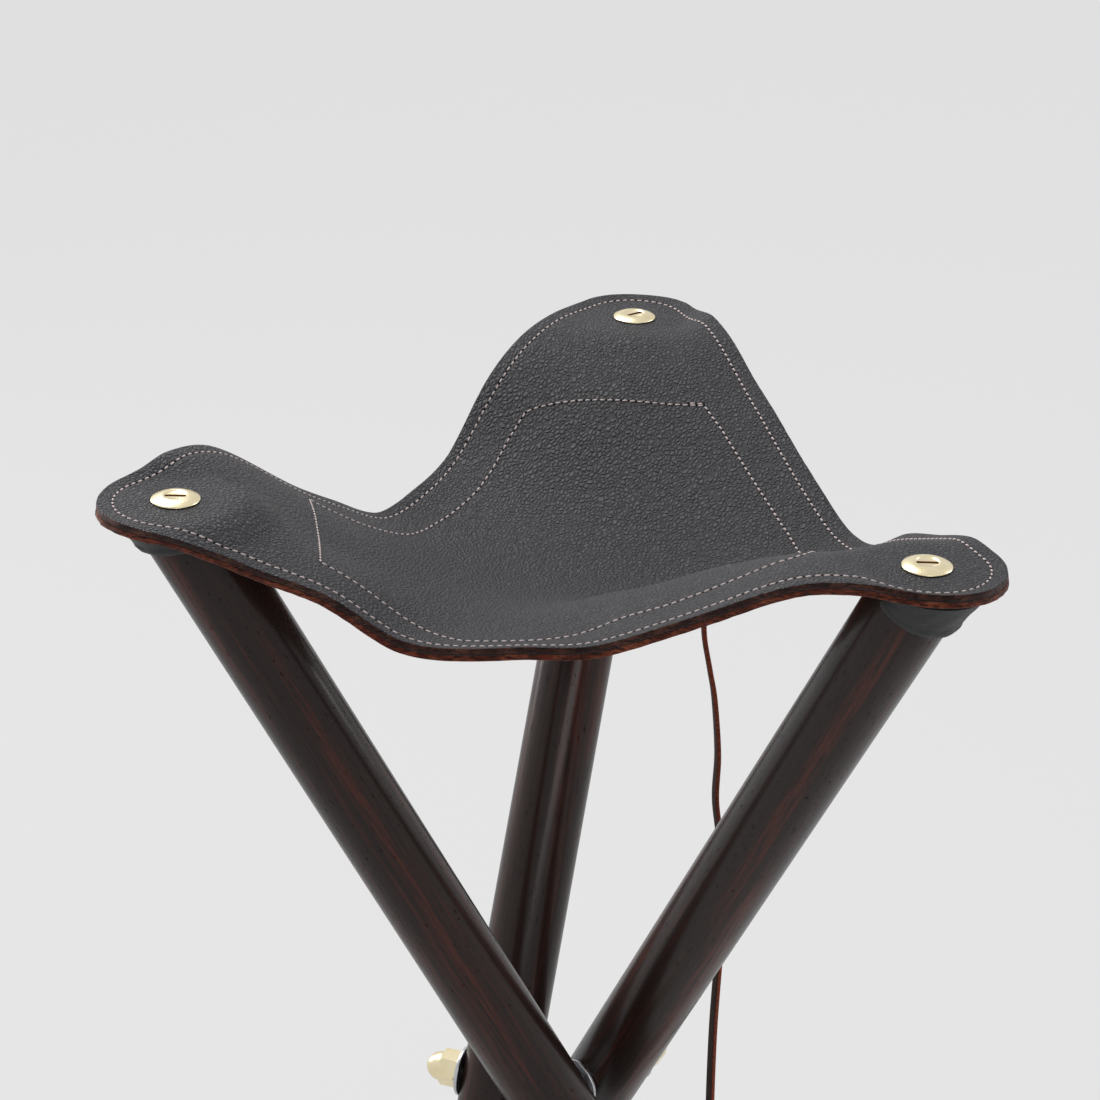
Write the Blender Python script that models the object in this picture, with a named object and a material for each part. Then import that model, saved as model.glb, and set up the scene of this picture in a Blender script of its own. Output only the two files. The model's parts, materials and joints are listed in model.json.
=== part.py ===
"""Folding tripod stool: three round legs crossing at a three-way bolt, and a slung leather seat.

Every leg turns about its own arm of the bolt, so the three fold together into a parallel bundle.
The leather hangs from three tabs, each held on a leg's top by a brass screw. A leather pocket
under each tab wraps the outer side of the leg's top, and a lace hangs from the seat to tie the
folded legs. Metres, +Z up, standing on z = 0.
"""

import math

import bmesh
import bpy
import numpy as np
from mathutils import Matrix, Vector

# Clearance between pieces that touch on the real stool.
GAP = 0.0003

# Legs: round rods, cut level at both ends.
LEG_DIAMETER = 0.030
LEG_ABOVE_BOLT = 0.308
LEG_BELOW_BOLT = 0.312
LEG_LEAN = math.radians(28)
LEG_END_CHAMFER = 0.0012
LEG_SPOT_FACE_DEPTH = 0.0008
CORNERS = {"a": math.radians(210), "b": math.radians(90), "c": math.radians(330)}

# Three-way bolt, its washers and cap nuts.
HUB_ACROSS_FLATS = 0.0184
HUB_HEIGHT = 0.015
HUB_CHAMFER = 0.0012
ARM_DIAMETER = 0.008
ARM_TIP_CHAMFER = 0.0008
ARM_GRIP_IN_NUT = 0.009
WASHER_DIAMETER = 0.020
WASHER_THICKNESS = 0.0016
WASHER_CHAMFER = 0.0003
NUT_ACROSS_FLATS = 0.013
NUT_HEX_LENGTH = 0.008
NUT_DOME_RADIUS = 0.0060
NUT_LENGTH = 0.0145
NUT_CHAMFER = 0.0007
NUT_BORE_ROOM = 0.0010

# Seat screws and the threaded inserts in the leg tops.
SCREW_HEAD_DIAMETER = 0.017
SCREW_HEAD_RIM = 0.0011
SCREW_HEAD_DOME = 0.0021
SCREW_DISH_DIAMETER = 0.0085
SCREW_DISH_DEPTH = 0.0004
SCREW_SLOT = (0.0080, 0.0013, 0.0013)
SCREW_SHANK_DIAMETER = 0.006
SCREW_IN_LEG = 0.0120
INSERT_DIAMETER = 0.0092
INSERT_LENGTH = 0.0130
INSERT_RIDGE = 0.0006
INSERT_RIDGES = 3

# Seat: a top leather and a lining, cut to one outline and sewn together round the edge.
LEATHER_THICKNESS = 0.0022
LINING_THICKNESS = 0.0020
TAB_REACH = 0.027
TAB_FLAT_MARGIN = 0.0035
TAB_FLAT_BLEND = 0.0095
TAB_STEPS = 5
SIDE_STEPS = 6
INNER_RINGS = (0.24, 0.47, 0.68, 0.86, 1.0)
TAB_RINGS = 3

# The sling's heights over the leg tops in millimetres, as it hangs: round each side from one
# tab's tip to the next, along each tab from its screw inwards, and at the middle.
SIDE_BEARINGS = (0, 6, 12, 18, 26, 35, 47, 60, 73, 85, 94, 102, 108, 114)
SIDE_HEIGHTS = {
    "a": (0.5, 0.5, -4.0, -11, -18.5, -31, -33, -30, -27, -17, -7, 2.5, 4, 3),
    "b": (2.0, 2.5, 1, -3, -17, -40, -50, -53, -41, -27, -12, 2, 4, 1),
    "c": (1.5, 1.5, 0, -8, -17, -30, -33, -27, -20, -12, -6, 2, 5, 4),
}
TAB_STATIONS = (0.0, 0.010, 0.020, 0.032, 0.052, 0.075, 0.110)
TAB_HEIGHTS = {
    "a": (0, 0, -1, -8, -24, -38, -51),
    "b": (0, 0, -1, -5, -16, -33, -51),
    "c": (0, 0, -1, -5, -17, -32, -49),
}
MIDDLE_HEIGHT = -56
SLING_SLACK = 1e-4

# The band along the front side, where the sling is nearly level before it falls to its middle:
# places in plan from the middle and heights over the leg tops, in millimetres.
FRONT_BAND = (
    (-75, -78.4, -17),
    (-63, -78.4, -24),
    (-47, -78.4, -34.7),
    (-35, -78.4, -38.5),
    (2, -78.4, -37.0),
    (16, -78.4, -33.3),
    (30, -78.4, -25.9),
    (43, -78.4, -20.6),
    (55, -78.4, -14.6),
    (70, -78.4, -6.5),
    (84, -78.4, 0.5),
    (1, -42, -42),
    (20, -42, -35),
    (40, -43, -29),
    (58, -46, -21),
    (77, -53, -12),
)
MM = 0.001
DECIMETRES = 10

# Pockets under the tabs.
POCKET_THICKNESS = 0.0020
POCKET_DEPTH = 0.015
POCKET_END_DEPTH = 0.004
POCKET_FLARE = 0.0025
POCKET_HALF_WRAP = math.radians(104)
POCKET_STEPS = 18
POCKET_ROWS = 4

# Tie lace: a flat thong. Its top is given in plan from the stool's middle, its route from there down.
LACE_WIDTH = 0.0042
LACE_THICKNESS = 0.0019
LACE_SEAT = 0.0005
LACE_TOP = (0.0458, 0.0260)
LACE_ROUTE = (
    (0.0000, 0.0000, 0.000),
    (0.0000, 0.0000, -0.012),
    (0.0003, 0.0000, -0.027),
    (0.0031, 0.0004, -0.042),
    (0.0055, 0.0009, -0.055),
    (0.0078, 0.0012, -0.078),
    (0.0079, 0.0012, -0.098),
    (0.0106, 0.0016, -0.119),
    (0.0126, 0.0022, -0.155),
    (0.0120, 0.0016, -0.205),
    (0.0130, -0.0004, -0.255),
    (0.0148, -0.0012, -0.305),
    (0.0144, 0.0004, -0.350),
    (0.0128, 0.0016, -0.390),
)
LACE_TWIST = math.radians(150)

LEG_RADIUS = LEG_DIAMETER / 2
SPOT_FACE = LEG_RADIUS - LEG_SPOT_FACE_DEPTH
ARM_RADIUS = ARM_DIAMETER / 2
HINGE_RADIUS = HUB_ACROSS_FLATS / 2 + GAP + WASHER_THICKNESS + GAP + SPOT_FACE
NUT_FACE = SPOT_FACE + GAP + WASHER_THICKNESS + GAP
HUB_LEVEL = LEG_BELOW_BOLT * math.cos(LEG_LEAN)
LEG_TOP_LEVEL = HUB_LEVEL + LEG_ABOVE_BOLT * math.cos(LEG_LEAN)
TOP_SWING = LEG_ABOVE_BOLT * math.sin(LEG_LEAN)
SCREW_RADIUS = math.hypot(HINGE_RADIUS, TOP_SWING)
ARM_LEAD = math.atan2(TOP_SWING, HINGE_RADIUS)
TAB_FLAT_RADIUS = LEG_DIAMETER / 2 / math.cos(LEG_LEAN) + TAB_FLAT_MARGIN
LINING_LEVEL = LEG_TOP_LEVEL + GAP
LEATHER_LIFT = LINING_THICKNESS + GAP
SCREW_SEAT_LEVEL = LINING_LEVEL + LEATHER_LIFT + LEATHER_THICKNESS + GAP
LEG_DOWN = Vector((0, math.sin(LEG_LEAN), -math.cos(LEG_LEAN)))
LEG_TOP = -LEG_ABOVE_BOLT * LEG_DOWN

ROUND = 28
SMALL_ROUND = 16


def clear_scene():
    for thing in list(bpy.data.objects):
        bpy.data.objects.remove(thing, do_unlink=True)


def material(name, colour, roughness, metallic=0.0):
    made = bpy.data.materials.new(name)
    made.use_nodes = True
    shader = made.node_tree.nodes["Principled BSDF"]
    shader.inputs["Base Color"].default_value = (*colour, 1.0)
    shader.inputs["Roughness"].default_value = roughness
    shader.inputs["Metallic"].default_value = metallic
    return made


def empty(name, parent=None, location=(0, 0, 0), turn=0.0):
    made = bpy.data.objects.new(name, None)
    made.empty_display_size = 0.03
    bpy.context.collection.objects.link(made)
    made.parent = parent
    made.location = location
    made.rotation_euler = (0, 0, turn)
    return made


def mesh_from(bm, name, smooth_under=35):
    bmesh.ops.recalc_face_normals(bm, faces=bm.faces)
    mesh = bpy.data.meshes.new(name)
    bm.to_mesh(mesh)
    bm.free()
    mesh.shade_smooth()
    mesh.set_sharp_from_angle(angle=math.radians(smooth_under))
    return mesh


def place(name, mesh, parent, look):
    made = bpy.data.objects.new(name, mesh)
    bpy.context.collection.objects.link(made)
    made.parent = parent
    if look and not mesh.materials:
        mesh.materials.append(look)
    return made


def cutter(name, mesh, parent):
    made = place(name, mesh, parent, None)
    made.hide_render = True
    made.display_type = "WIRE"
    return made


def boolean(target, tool, operation="DIFFERENCE"):
    step = target.modifiers.new(tool.name, "BOOLEAN")
    step.operation = operation
    step.object = tool
    step.solver = "EXACT"


def turned(profile, steps, axis=Vector((0, 0, 1)), centre=Vector((0, 0, 0))):
    """A closed solid of revolution from (radius, height) points that run from axis to axis."""
    bm = bmesh.new()
    corners = [bm.verts.new((radius, 0, height)) for radius, height in profile]
    edges = [bm.edges.new(pair) for pair in zip(corners, corners[1:])]
    bmesh.ops.spin(
        bm, geom=corners + edges, cent=(0, 0, 0), axis=(0, 0, 1), angle=math.tau, steps=steps, use_merge=True
    )
    bmesh.ops.remove_doubles(bm, verts=bm.verts, dist=1e-6)
    turn = Vector((0, 0, 1)).rotation_difference(axis).to_matrix().to_4x4()
    bmesh.ops.transform(bm, matrix=Matrix.Translation(centre) @ turn, verts=bm.verts)
    return bm


def rod_profile(radius, low, high, chamfer):
    return [
        (0, low),
        (radius - chamfer, low),
        (radius, low + chamfer),
        (radius, high - chamfer),
        (radius - chamfer, high),
        (0, high),
    ]


def plain_rod(radius, low, high):
    return [(0, low), (radius, low), (radius, high), (0, high)]


def ring_solid(outer, inner, low, high, chamfer, steps):
    """A washer-like ring about Z, with its outer corners chamfered."""
    profile = [
        (inner, low),
        (outer - chamfer, low),
        (outer, low + chamfer),
        (outer, high - chamfer),
        (outer - chamfer, high),
        (inner, high),
    ]
    bm = bmesh.new()
    corners = [bm.verts.new((radius, 0, height)) for radius, height in profile]
    edges = [bm.edges.new((corners[i - 1], corners[i])) for i in range(len(corners))]
    bmesh.ops.spin(
        bm, geom=corners + edges, cent=(0, 0, 0), axis=(0, 0, 1), angle=math.tau, steps=steps, use_merge=True
    )
    bmesh.ops.remove_doubles(bm, verts=bm.verts, dist=1e-6)
    return bm


def hex_prism(across_flats, low, high, turn=0.0):
    """A hexagonal bar about Z whose first flat faces +X when turn is zero."""
    bm = bmesh.new()
    radius = across_flats / 2 / math.cos(math.pi / 6)
    base = [
        bm.verts.new((radius * math.cos(a), radius * math.sin(a), low))
        for a in (turn + math.radians(30 + 60 * i) for i in range(6))
    ]
    face = bm.faces.new(base)
    lifted = bmesh.ops.extrude_face_region(bm, geom=[face])["geom"]
    verts = [item for item in lifted if isinstance(item, bmesh.types.BMVert)]
    bmesh.ops.translate(bm, vec=(0, 0, high - low), verts=verts)
    return bm


def along_x(bm, centre=0.0):
    """Turns a piece made about Z so that its axis is +X."""
    turn = Matrix.Rotation(math.radians(90), 4, "Y")
    bmesh.ops.transform(bm, matrix=Matrix.Translation((centre, 0, 0)) @ turn, verts=bm.verts)
    return bm


def leg_blank():
    """A leaning rod whose ends are cut level and chamfered. The bolt's arm is at the origin."""
    overrun = LEG_DIAMETER * math.tan(LEG_LEAN)
    profile = plain_rod(LEG_RADIUS, -LEG_BELOW_BOLT - overrun, LEG_ABOVE_BOLT + overrun)
    bm = turned(profile, ROUND, axis=-LEG_DOWN)
    cuts = ((LEG_TOP, (0, 0, 1)), (LEG_BELOW_BOLT * LEG_DOWN, (0, 0, -1)))
    for point, normal in cuts:
        parts = bm.verts[:] + bm.edges[:] + bm.faces[:]
        cut = bmesh.ops.bisect_plane(bm, geom=parts, plane_co=point, plane_no=normal, clear_outer=True)
        rim = [item for item in cut["geom_cut"] if isinstance(item, bmesh.types.BMEdge)]
        bmesh.ops.edgeloop_fill(bm, edges=rim)
        bmesh.ops.bevel(bm, geom=rim, offset=LEG_END_CHAMFER, segments=2, profile=0.5, affect="EDGES", material=-1)
    return mesh_from(bm, "leg_blank")


def leg_cutters(parent, label):
    """What is drilled from a leg: the bolt's hole, its two spot faces and the insert's hole."""
    hole = along_x(turned(plain_rod(ARM_RADIUS + GAP, -LEG_DIAMETER, LEG_DIAMETER), SMALL_ROUND))
    tools = [cutter(f"cut_bolt_hole_{label}", mesh_from(hole, "bolt_hole"), parent)]
    for side in (-1, 1):
        spot = plain_rod(WASHER_DIAMETER / 2 + GAP, SPOT_FACE, LEG_DIAMETER)
        face = turned(spot, ROUND, axis=Vector((side, 0, 0)))
        tools.append(cutter(f"cut_spot_face_{label}_{side}", mesh_from(face, "spot_face"), parent))
    drill = plain_rod(INSERT_DIAMETER / 2 + INSERT_RIDGE + GAP, -INSERT_LENGTH - 3 * GAP, LEG_DIAMETER)
    bore = turned(drill, SMALL_ROUND, centre=LEG_TOP)
    tools.append(cutter(f"cut_insert_hole_{label}", mesh_from(bore, "insert_hole"), parent))
    return tools


def insert_mesh():
    """A threaded insert: a sleeve with coarse outer ridges, standing in the leg's top."""
    inner = SCREW_SHANK_DIAMETER / 2 + GAP
    outer = INSERT_DIAMETER / 2
    low, high = -INSERT_LENGTH, -GAP
    pitch = (high - low) / INSERT_RIDGES
    profile = [(inner, low), (outer, low)]
    for ridge in range(INSERT_RIDGES):
        base = low + ridge * pitch
        profile += [
            (outer, base + pitch * 0.2),
            (outer + INSERT_RIDGE, base + pitch * 0.5),
            (outer, base + pitch * 0.8),
        ]
    profile += [(outer, high), (inner, high)]
    bm = bmesh.new()
    corners = [bm.verts.new((radius, 0, height)) for radius, height in profile]
    edges = [bm.edges.new((corners[i - 1], corners[i])) for i in range(len(corners))]
    bmesh.ops.spin(
        bm,
        geom=corners + edges,
        cent=(0, 0, 0),
        axis=(0, 0, 1),
        angle=math.tau,
        steps=SMALL_ROUND,
        use_merge=True,
    )
    bmesh.ops.remove_doubles(bm, verts=bm.verts, dist=1e-6)
    bmesh.ops.translate(bm, vec=LEG_TOP, verts=bm.verts)
    return mesh_from(bm, "threaded_insert")


def screw_mesh():
    """A connector bolt: a shallow dished dome on a plain shank, its head's seat at z = 0."""
    head = SCREW_HEAD_DIAMETER / 2
    shank = SCREW_SHANK_DIAMETER / 2
    dish = SCREW_DISH_DIAMETER / 2
    crown = SCREW_HEAD_RIM + SCREW_HEAD_DOME
    tip = LEG_TOP_LEVEL - SCREW_IN_LEG - SCREW_SEAT_LEVEL
    profile = [(0, tip), (shank * 0.8, tip), (shank, tip + shank * 0.2), (shank, 0)]
    profile += [(head - 0.0002, 0), (head, 0.0002), (head, SCREW_HEAD_RIM)]
    for step in range(1, 6):
        turn = step / 6 * math.pi / 2
        radius = dish + (head - dish) * math.cos(turn)
        profile.append((radius, SCREW_HEAD_RIM + SCREW_HEAD_DOME * math.sin(turn)))
    profile += [(dish, crown), (dish * 0.8, crown - SCREW_DISH_DEPTH), (0, crown - SCREW_DISH_DEPTH)]
    return mesh_from(turned(profile, ROUND), "seat_screw", smooth_under=40)


def slot_mesh():
    length, width, depth = SCREW_SLOT
    bm = bmesh.new()
    bmesh.ops.create_cube(bm, size=1.0)
    floor = SCREW_HEAD_RIM + SCREW_HEAD_DOME - depth
    ceiling = floor + SCREW_HEAD_DOME + depth
    size = Matrix.Diagonal((length, width, ceiling - floor, 1))
    bmesh.ops.transform(bm, matrix=Matrix.Translation((0, 0, (floor + ceiling) / 2)) @ size, verts=bm.verts)
    ends = [e for e in bm.edges if abs(e.verts[0].co.z - e.verts[1].co.z) > depth]
    bmesh.ops.bevel(bm, geom=ends, offset=width * 0.45, segments=3, profile=0.5, affect="EDGES", material=-1)
    return mesh_from(bm, "screw_slot")


def washer_mesh(face):
    """A flat washer about X, from the given distance from the leg's centre outward."""
    bm = ring_solid(WASHER_DIAMETER / 2, ARM_RADIUS + GAP, face, face + WASHER_THICKNESS, WASHER_CHAMFER, ROUND)
    return mesh_from(along_x(bm), "washer")


def nut_mesh():
    """A cap nut's outside about X: a hexagon whose corners are turned off, and a dome."""
    corner = NUT_ACROSS_FLATS / 2 / math.cos(math.pi / 6)
    flat = NUT_ACROSS_FLATS / 2
    profile = [(0, 0), (flat * 0.97, 0), (corner + NUT_CHAMFER, corner * 0.12 + NUT_CHAMFER)]
    profile += [(corner + NUT_CHAMFER, NUT_HEX_LENGTH - NUT_CHAMFER), (flat * 0.97, NUT_HEX_LENGTH)]
    rise = NUT_LENGTH - NUT_HEX_LENGTH
    for step in range(7):
        turn = step / 6 * math.pi / 2
        profile.append((NUT_DOME_RADIUS * math.cos(turn), NUT_HEX_LENGTH + rise * math.sin(turn)))
    profile[-1] = (0, NUT_LENGTH)
    return mesh_from(along_x(turned(profile, ROUND), centre=NUT_FACE), "cap_nut")


def hub_core():
    bm = hex_prism(HUB_ACROSS_FLATS, -HUB_HEIGHT / 2, HUB_HEIGHT / 2, turn=arm_angle("a"))
    bmesh.ops.bevel(
        bm, geom=bm.edges[:], offset=HUB_CHAMFER, segments=1, profile=0.5, affect="EDGES", material=-1
    )
    return mesh_from(bm, "three_way_bolt", smooth_under=25)


def arm_angle(label):
    """The bearing of a leg's arm: the leg leans sideways, so its top trails the arm."""
    return CORNERS[label] + ARM_LEAD


def screw_point(label):
    angle = CORNERS[label]
    return Vector((SCREW_RADIUS * math.cos(angle), SCREW_RADIUS * math.sin(angle)))


def half_outline():
    """Half a tab from its tip round the screw, then half of the straight side, in the tab's own frame."""
    half = []
    for step in range(TAB_STEPS):
        turn = step / TAB_STEPS * math.pi / 3
        half.append(Vector((SCREW_RADIUS + TAB_REACH * math.cos(turn), TAB_REACH * math.sin(turn))))
    away = Vector((math.cos(math.pi / 3), math.sin(math.pi / 3)))
    shoulder = Vector((SCREW_RADIUS, 0)) + away * TAB_REACH
    middle = away * (SCREW_RADIUS / 2 + TAB_REACH)
    for step in range(SIDE_STEPS + 1):
        half.append(shoulder.lerp(middle, step / SIDE_STEPS))
    return half


def seat_outline():
    """The seat's edge in plan: a triangle with a round tab about each screw."""
    half = half_outline()
    sector = [Vector((p.x, -p.y)) for p in reversed(half[1:-1])] + half
    outline = []
    for label in ("b", "a", "c"):
        turn = Matrix.Rotation(CORNERS[label], 2)
        outline += [turn @ point for point in sector]
    return outline


def edge_reach(bearing):
    """The edge's distance from the middle, at a bearing from the nearest tab."""
    if bearing < math.atan2(TAB_REACH * math.sin(math.pi / 3), SCREW_RADIUS + TAB_REACH / 2):
        return SCREW_RADIUS * math.cos(bearing) + math.sqrt(TAB_REACH**2 - (SCREW_RADIUS * math.sin(bearing)) ** 2)
    return (SCREW_RADIUS / 2 + TAB_REACH) / math.cos(math.pi / 3 - bearing)


def height_marks():
    """Points in plan, in decimetres, with the sling's height there, in metres."""
    marks = [(0.0, 0.0, MIDDLE_HEIGHT * MM)]
    marks += [(DECIMETRES * x * MM, DECIMETRES * y * MM, height * MM) for x, y, height in FRONT_BAND]
    for label, corner in CORNERS.items():
        for turn, height in zip(SIDE_BEARINGS, SIDE_HEIGHTS[label]):
            reach = DECIMETRES * edge_reach(math.radians(min(turn, 120 - turn)))
            angle = corner + math.radians(turn)
            marks.append((reach * math.cos(angle), reach * math.sin(angle), height * MM))
        for station, height in zip(TAB_STATIONS, TAB_HEIGHTS[label]):
            reach = DECIMETRES * (SCREW_RADIUS - station)
            marks.append((reach * math.cos(corner), reach * math.sin(corner), height * MM))
    return np.array(marks)


def thin_plate(gap):
    return gap**2 * np.log(np.maximum(gap, 1e-9))


def sling_pulls(marks):
    """Weights of the smooth surface that runs through the marks."""
    gaps = np.linalg.norm(marks[:, None, :2] - marks[None, :, :2], axis=-1)
    level = np.c_[np.ones(len(marks)), marks[:, :2]]
    bend = thin_plate(gaps) + SLING_SLACK * np.eye(len(marks))
    whole = np.block([[bend, level], [level.T, np.zeros((3, 3))]])
    return np.linalg.solve(whole, np.r_[marks[:, 2], 0, 0, 0])


MARKS = height_marks()
PULLS = sling_pulls(MARKS)


def seat_height(point):
    """Height of the lining's underside over the leg tops, at a point in plan. It is level on each leg."""
    spot = np.array(point) * DECIMETRES
    rise = thin_plate(np.linalg.norm(MARKS[:, :2] - spot, axis=1)) @ PULLS[:-3]
    rise += PULLS[-3] + spot @ PULLS[-2:]
    near = min((point - screw_point(label)).length for label in CORNERS)
    free = min(max((near - TAB_FLAT_RADIUS) / TAB_FLAT_BLEND, 0.0), 1.0)
    return float(rise) * free * free * (3 - 2 * free)


def seat_rings():
    """Shares of the way from the middle to the edge. One ring lies where a leg's top begins."""
    bearing = SCREW_RADIUS - LEG_RADIUS / math.cos(LEG_LEAN)
    start = bearing / (SCREW_RADIUS + TAB_REACH)
    rings = [start * share for share in INNER_RINGS]
    return rings + [start + (1 - start) * (step + 1) / TAB_RINGS for step in range(TAB_RINGS)]


def seat_frame(point):
    """Underside point of the sling and its upward normal."""
    step = 1e-4
    here = seat_height(point)
    slope_x = (seat_height(point + Vector((step, 0))) - here) / step
    slope_y = (seat_height(point + Vector((0, step))) - here) / step
    normal = Vector((-slope_x, -slope_y, 1)).normalized()
    return Vector((point.x, point.y, LINING_LEVEL + here)), normal


def seat_sheet(name, low, high):
    """One closed sheet of leather between two heights over the sling's underside."""
    outline = seat_outline()
    bm = bmesh.new()
    layers = []
    frames = [[seat_frame(Vector((0, 0)))]]
    frames += [[seat_frame(point * share) for point in outline] for share in seat_rings()]
    for height in (low, high):
        layers.append([[bm.verts.new(base + normal * height) for base, normal in ring] for ring in frames])
    count = len(outline)
    for layer in layers:
        hub = layer[0][0]
        for i in range(count):
            after = (i + 1) % count
            bm.faces.new((hub, layer[1][i], layer[1][after]))
            for inner, outer in zip(layer[1:], layer[2:]):
                bm.faces.new((inner[i], outer[i], outer[after]))
                bm.faces.new((inner[i], outer[after], inner[after]))
    for i in range(count):
        after = (i + 1) % count
        bm.faces.new((layers[0][-1][i], layers[0][-1][after], layers[1][-1][after], layers[1][-1][i]))
    return mesh_from(bm, name, smooth_under=50)


def pocket_mesh():
    """A cup of leather round the outer side of a leg's top, flared where it meets the tab."""
    outward = math.atan2(LEG_TOP.y, HINGE_RADIUS)
    bm = bmesh.new()
    rows = []
    for row in range(POCKET_ROWS + 1):
        t = row / POCKET_ROWS
        line = []
        for step in range(POCKET_STEPS + 1):
            side = 2 * step / POCKET_STEPS - 1
            bearing = outward + side * POCKET_HALF_WRAP
            taper = math.cos(side * math.pi / 2) ** 0.8 if abs(side) < 1 else 0.0
            depth = (POCKET_END_DEPTH + (POCKET_DEPTH - POCKET_END_DEPTH) * taper) * t
            flare = POCKET_FLARE * taper * (1 - t) ** 1.5
            along = Vector((math.cos(bearing), math.sin(bearing), 0))
            centre = LEG_TOP + Vector((0, depth * math.tan(LEG_LEAN), -depth - GAP))
            pair = []
            for thickness in (0.0, POCKET_THICKNESS):
                reach = LEG_RADIUS + GAP + flare + thickness
                pair.append(
                    bm.verts.new(centre + Vector((along.x * reach, along.y * reach / math.cos(LEG_LEAN), 0)))
                )
            line.append(pair)
        rows.append(line)
    for upper, lower in zip(rows, rows[1:]):
        for here, there in zip(range(POCKET_STEPS), range(1, POCKET_STEPS + 1)):
            for face in (0, 1):
                bm.faces.new((upper[here][face], upper[there][face], lower[there][face], lower[here][face]))
        for end in (0, POCKET_STEPS):
            bm.faces.new((upper[end][0], upper[end][1], lower[end][1], lower[end][0]))
    for row in (rows[0], rows[-1]):
        for here, there in zip(range(POCKET_STEPS), range(1, POCKET_STEPS + 1)):
            bm.faces.new((row[here][0], row[there][0], row[there][1], row[here][1]))
    return mesh_from(bm, "corner_pocket", smooth_under=50)


def build_legs(centre, looks):
    """Each leg with what moves with it, under an empty on its arm's axis."""
    blank = leg_blank()
    insert = insert_mesh()
    screw = screw_mesh()
    slot = slot_mesh()
    pocket = pocket_mesh()
    for mesh, look in ((blank, "wood"), (insert, "steel"), (screw, "brass"), (pocket, "leather")):
        mesh.materials.append(looks[look])
    for label in CORNERS:
        angle = arm_angle(label)
        arm = (HINGE_RADIUS * math.cos(angle), HINGE_RADIUS * math.sin(angle), HUB_LEVEL)
        hinge = empty(f"hinge_{label}", centre, arm, angle)
        leg = place(f"leg_{label}", blank, hinge, None)
        for tool in leg_cutters(hinge, label):
            boolean(leg, tool)
        place(f"threaded_insert_{label}", insert, hinge, None)
        place(f"corner_pocket_{label}", pocket, hinge, None)
        fixing = place(f"seat_screw_{label}", screw, hinge, None)
        fixing.location = LEG_TOP + Vector((0, 0, SCREW_SEAT_LEVEL - LEG_TOP_LEVEL))
        groove = cutter(f"cut_screw_slot_{label}", slot, fixing)
        boolean(fixing, groove)


def build_bolt(centre, looks):
    """The three-way bolt, and a washer each side of every leg under a cap nut."""
    core = place("three_way_bolt", hub_core(), centre, looks["steel"])
    core.location.z = HUB_LEVEL
    tip = HINGE_RADIUS + NUT_FACE + ARM_GRIP_IN_NUT
    nut = nut_mesh()
    nut.materials.append(looks["brass"])
    bore = along_x(turned(plain_rod(ARM_RADIUS + GAP, -NUT_BORE_ROOM, ARM_GRIP_IN_NUT + NUT_BORE_ROOM), SMALL_ROUND))
    bore_mesh = mesh_from(bore, "nut_bore")
    for label in CORNERS:
        turn = Matrix.Rotation(arm_angle(label), 3, "Z")
        arm = turned(rod_profile(ARM_RADIUS, 0, tip, ARM_TIP_CHAMFER), SMALL_ROUND, axis=turn @ Vector((1, 0, 0)))
        boolean(core, cutter(f"arm_{label}", mesh_from(arm, f"arm_{label}"), core), "UNION")
        hinge = bpy.data.objects[f"hinge_{label}"]
        fixed = empty(f"arm_{label}_axis", centre, hinge.location, arm_angle(label))
        place(f"inner_washer_{label}", washer_mesh(-SPOT_FACE - GAP - WASHER_THICKNESS), fixed, looks["steel"])
        place(f"outer_washer_{label}", washer_mesh(SPOT_FACE + GAP), fixed, looks["steel"])
        cap = place(f"cap_nut_{label}", nut, fixed, None)
        hexagon = along_x(hex_prism(NUT_ACROSS_FLATS, -GAP, NUT_LENGTH + GAP), centre=NUT_FACE)
        boolean(cap, cutter(f"cut_nut_flats_{label}", mesh_from(hexagon, "nut_flats"), fixed), "INTERSECT")
        drill = cutter(f"cut_nut_bore_{label}", bore_mesh, fixed)
        drill.location.x = NUT_FACE
        boolean(cap, drill)


def build_seat(centre, looks):
    """The lining and the leather over it, with a hole in each tab for its screw."""
    lining = place("seat_lining", seat_sheet("seat_lining", 0.0, LINING_THICKNESS), centre, looks["suede"])
    top = seat_sheet("seat_leather", LEATHER_LIFT, LEATHER_LIFT + LEATHER_THICKNESS)
    leather = place("seat_leather", top, centre, looks["leather"])
    for label in CORNERS:
        spot = screw_point(label)
        radius = SCREW_SHANK_DIAMETER / 2 + GAP
        reach = LEG_RADIUS
        punch = turned(plain_rod(radius, -reach, reach), SMALL_ROUND)
        hole = cutter(f"cut_tab_hole_{label}", mesh_from(punch, "tab_hole"), centre)
        hole.location = (spot.x, spot.y, LINING_LEVEL)
        boolean(lining, hole)
        boolean(leather, hole)


def smooth_route(points, spacing):
    """Points at an even spacing on a smooth curve through the route's own points."""
    route = [Vector(p) for p in points]
    padded = [2 * route[0] - route[1], *route, 2 * route[-1] - route[-2]]
    dense = []
    for a, b, c, d in zip(padded, padded[1:], padded[2:], padded[3:]):
        for step in range(12):
            t = step / 12
            bend = 2 * b + (c - a) * t + (2 * a - 5 * b + 4 * c - d) * t**2 + (3 * b - a - 3 * c + d) * t**3
            dense.append(bend / 2)
    dense.append(route[-1])
    even = [dense[0]]
    run = 0.0
    for before, after in zip(dense, dense[1:]):
        run += (after - before).length
        if run >= spacing:
            even.append(after)
            run = 0.0
    if (dense[-1] - even[-1]).length > spacing / 2:
        even.append(dense[-1])
    return even


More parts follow.
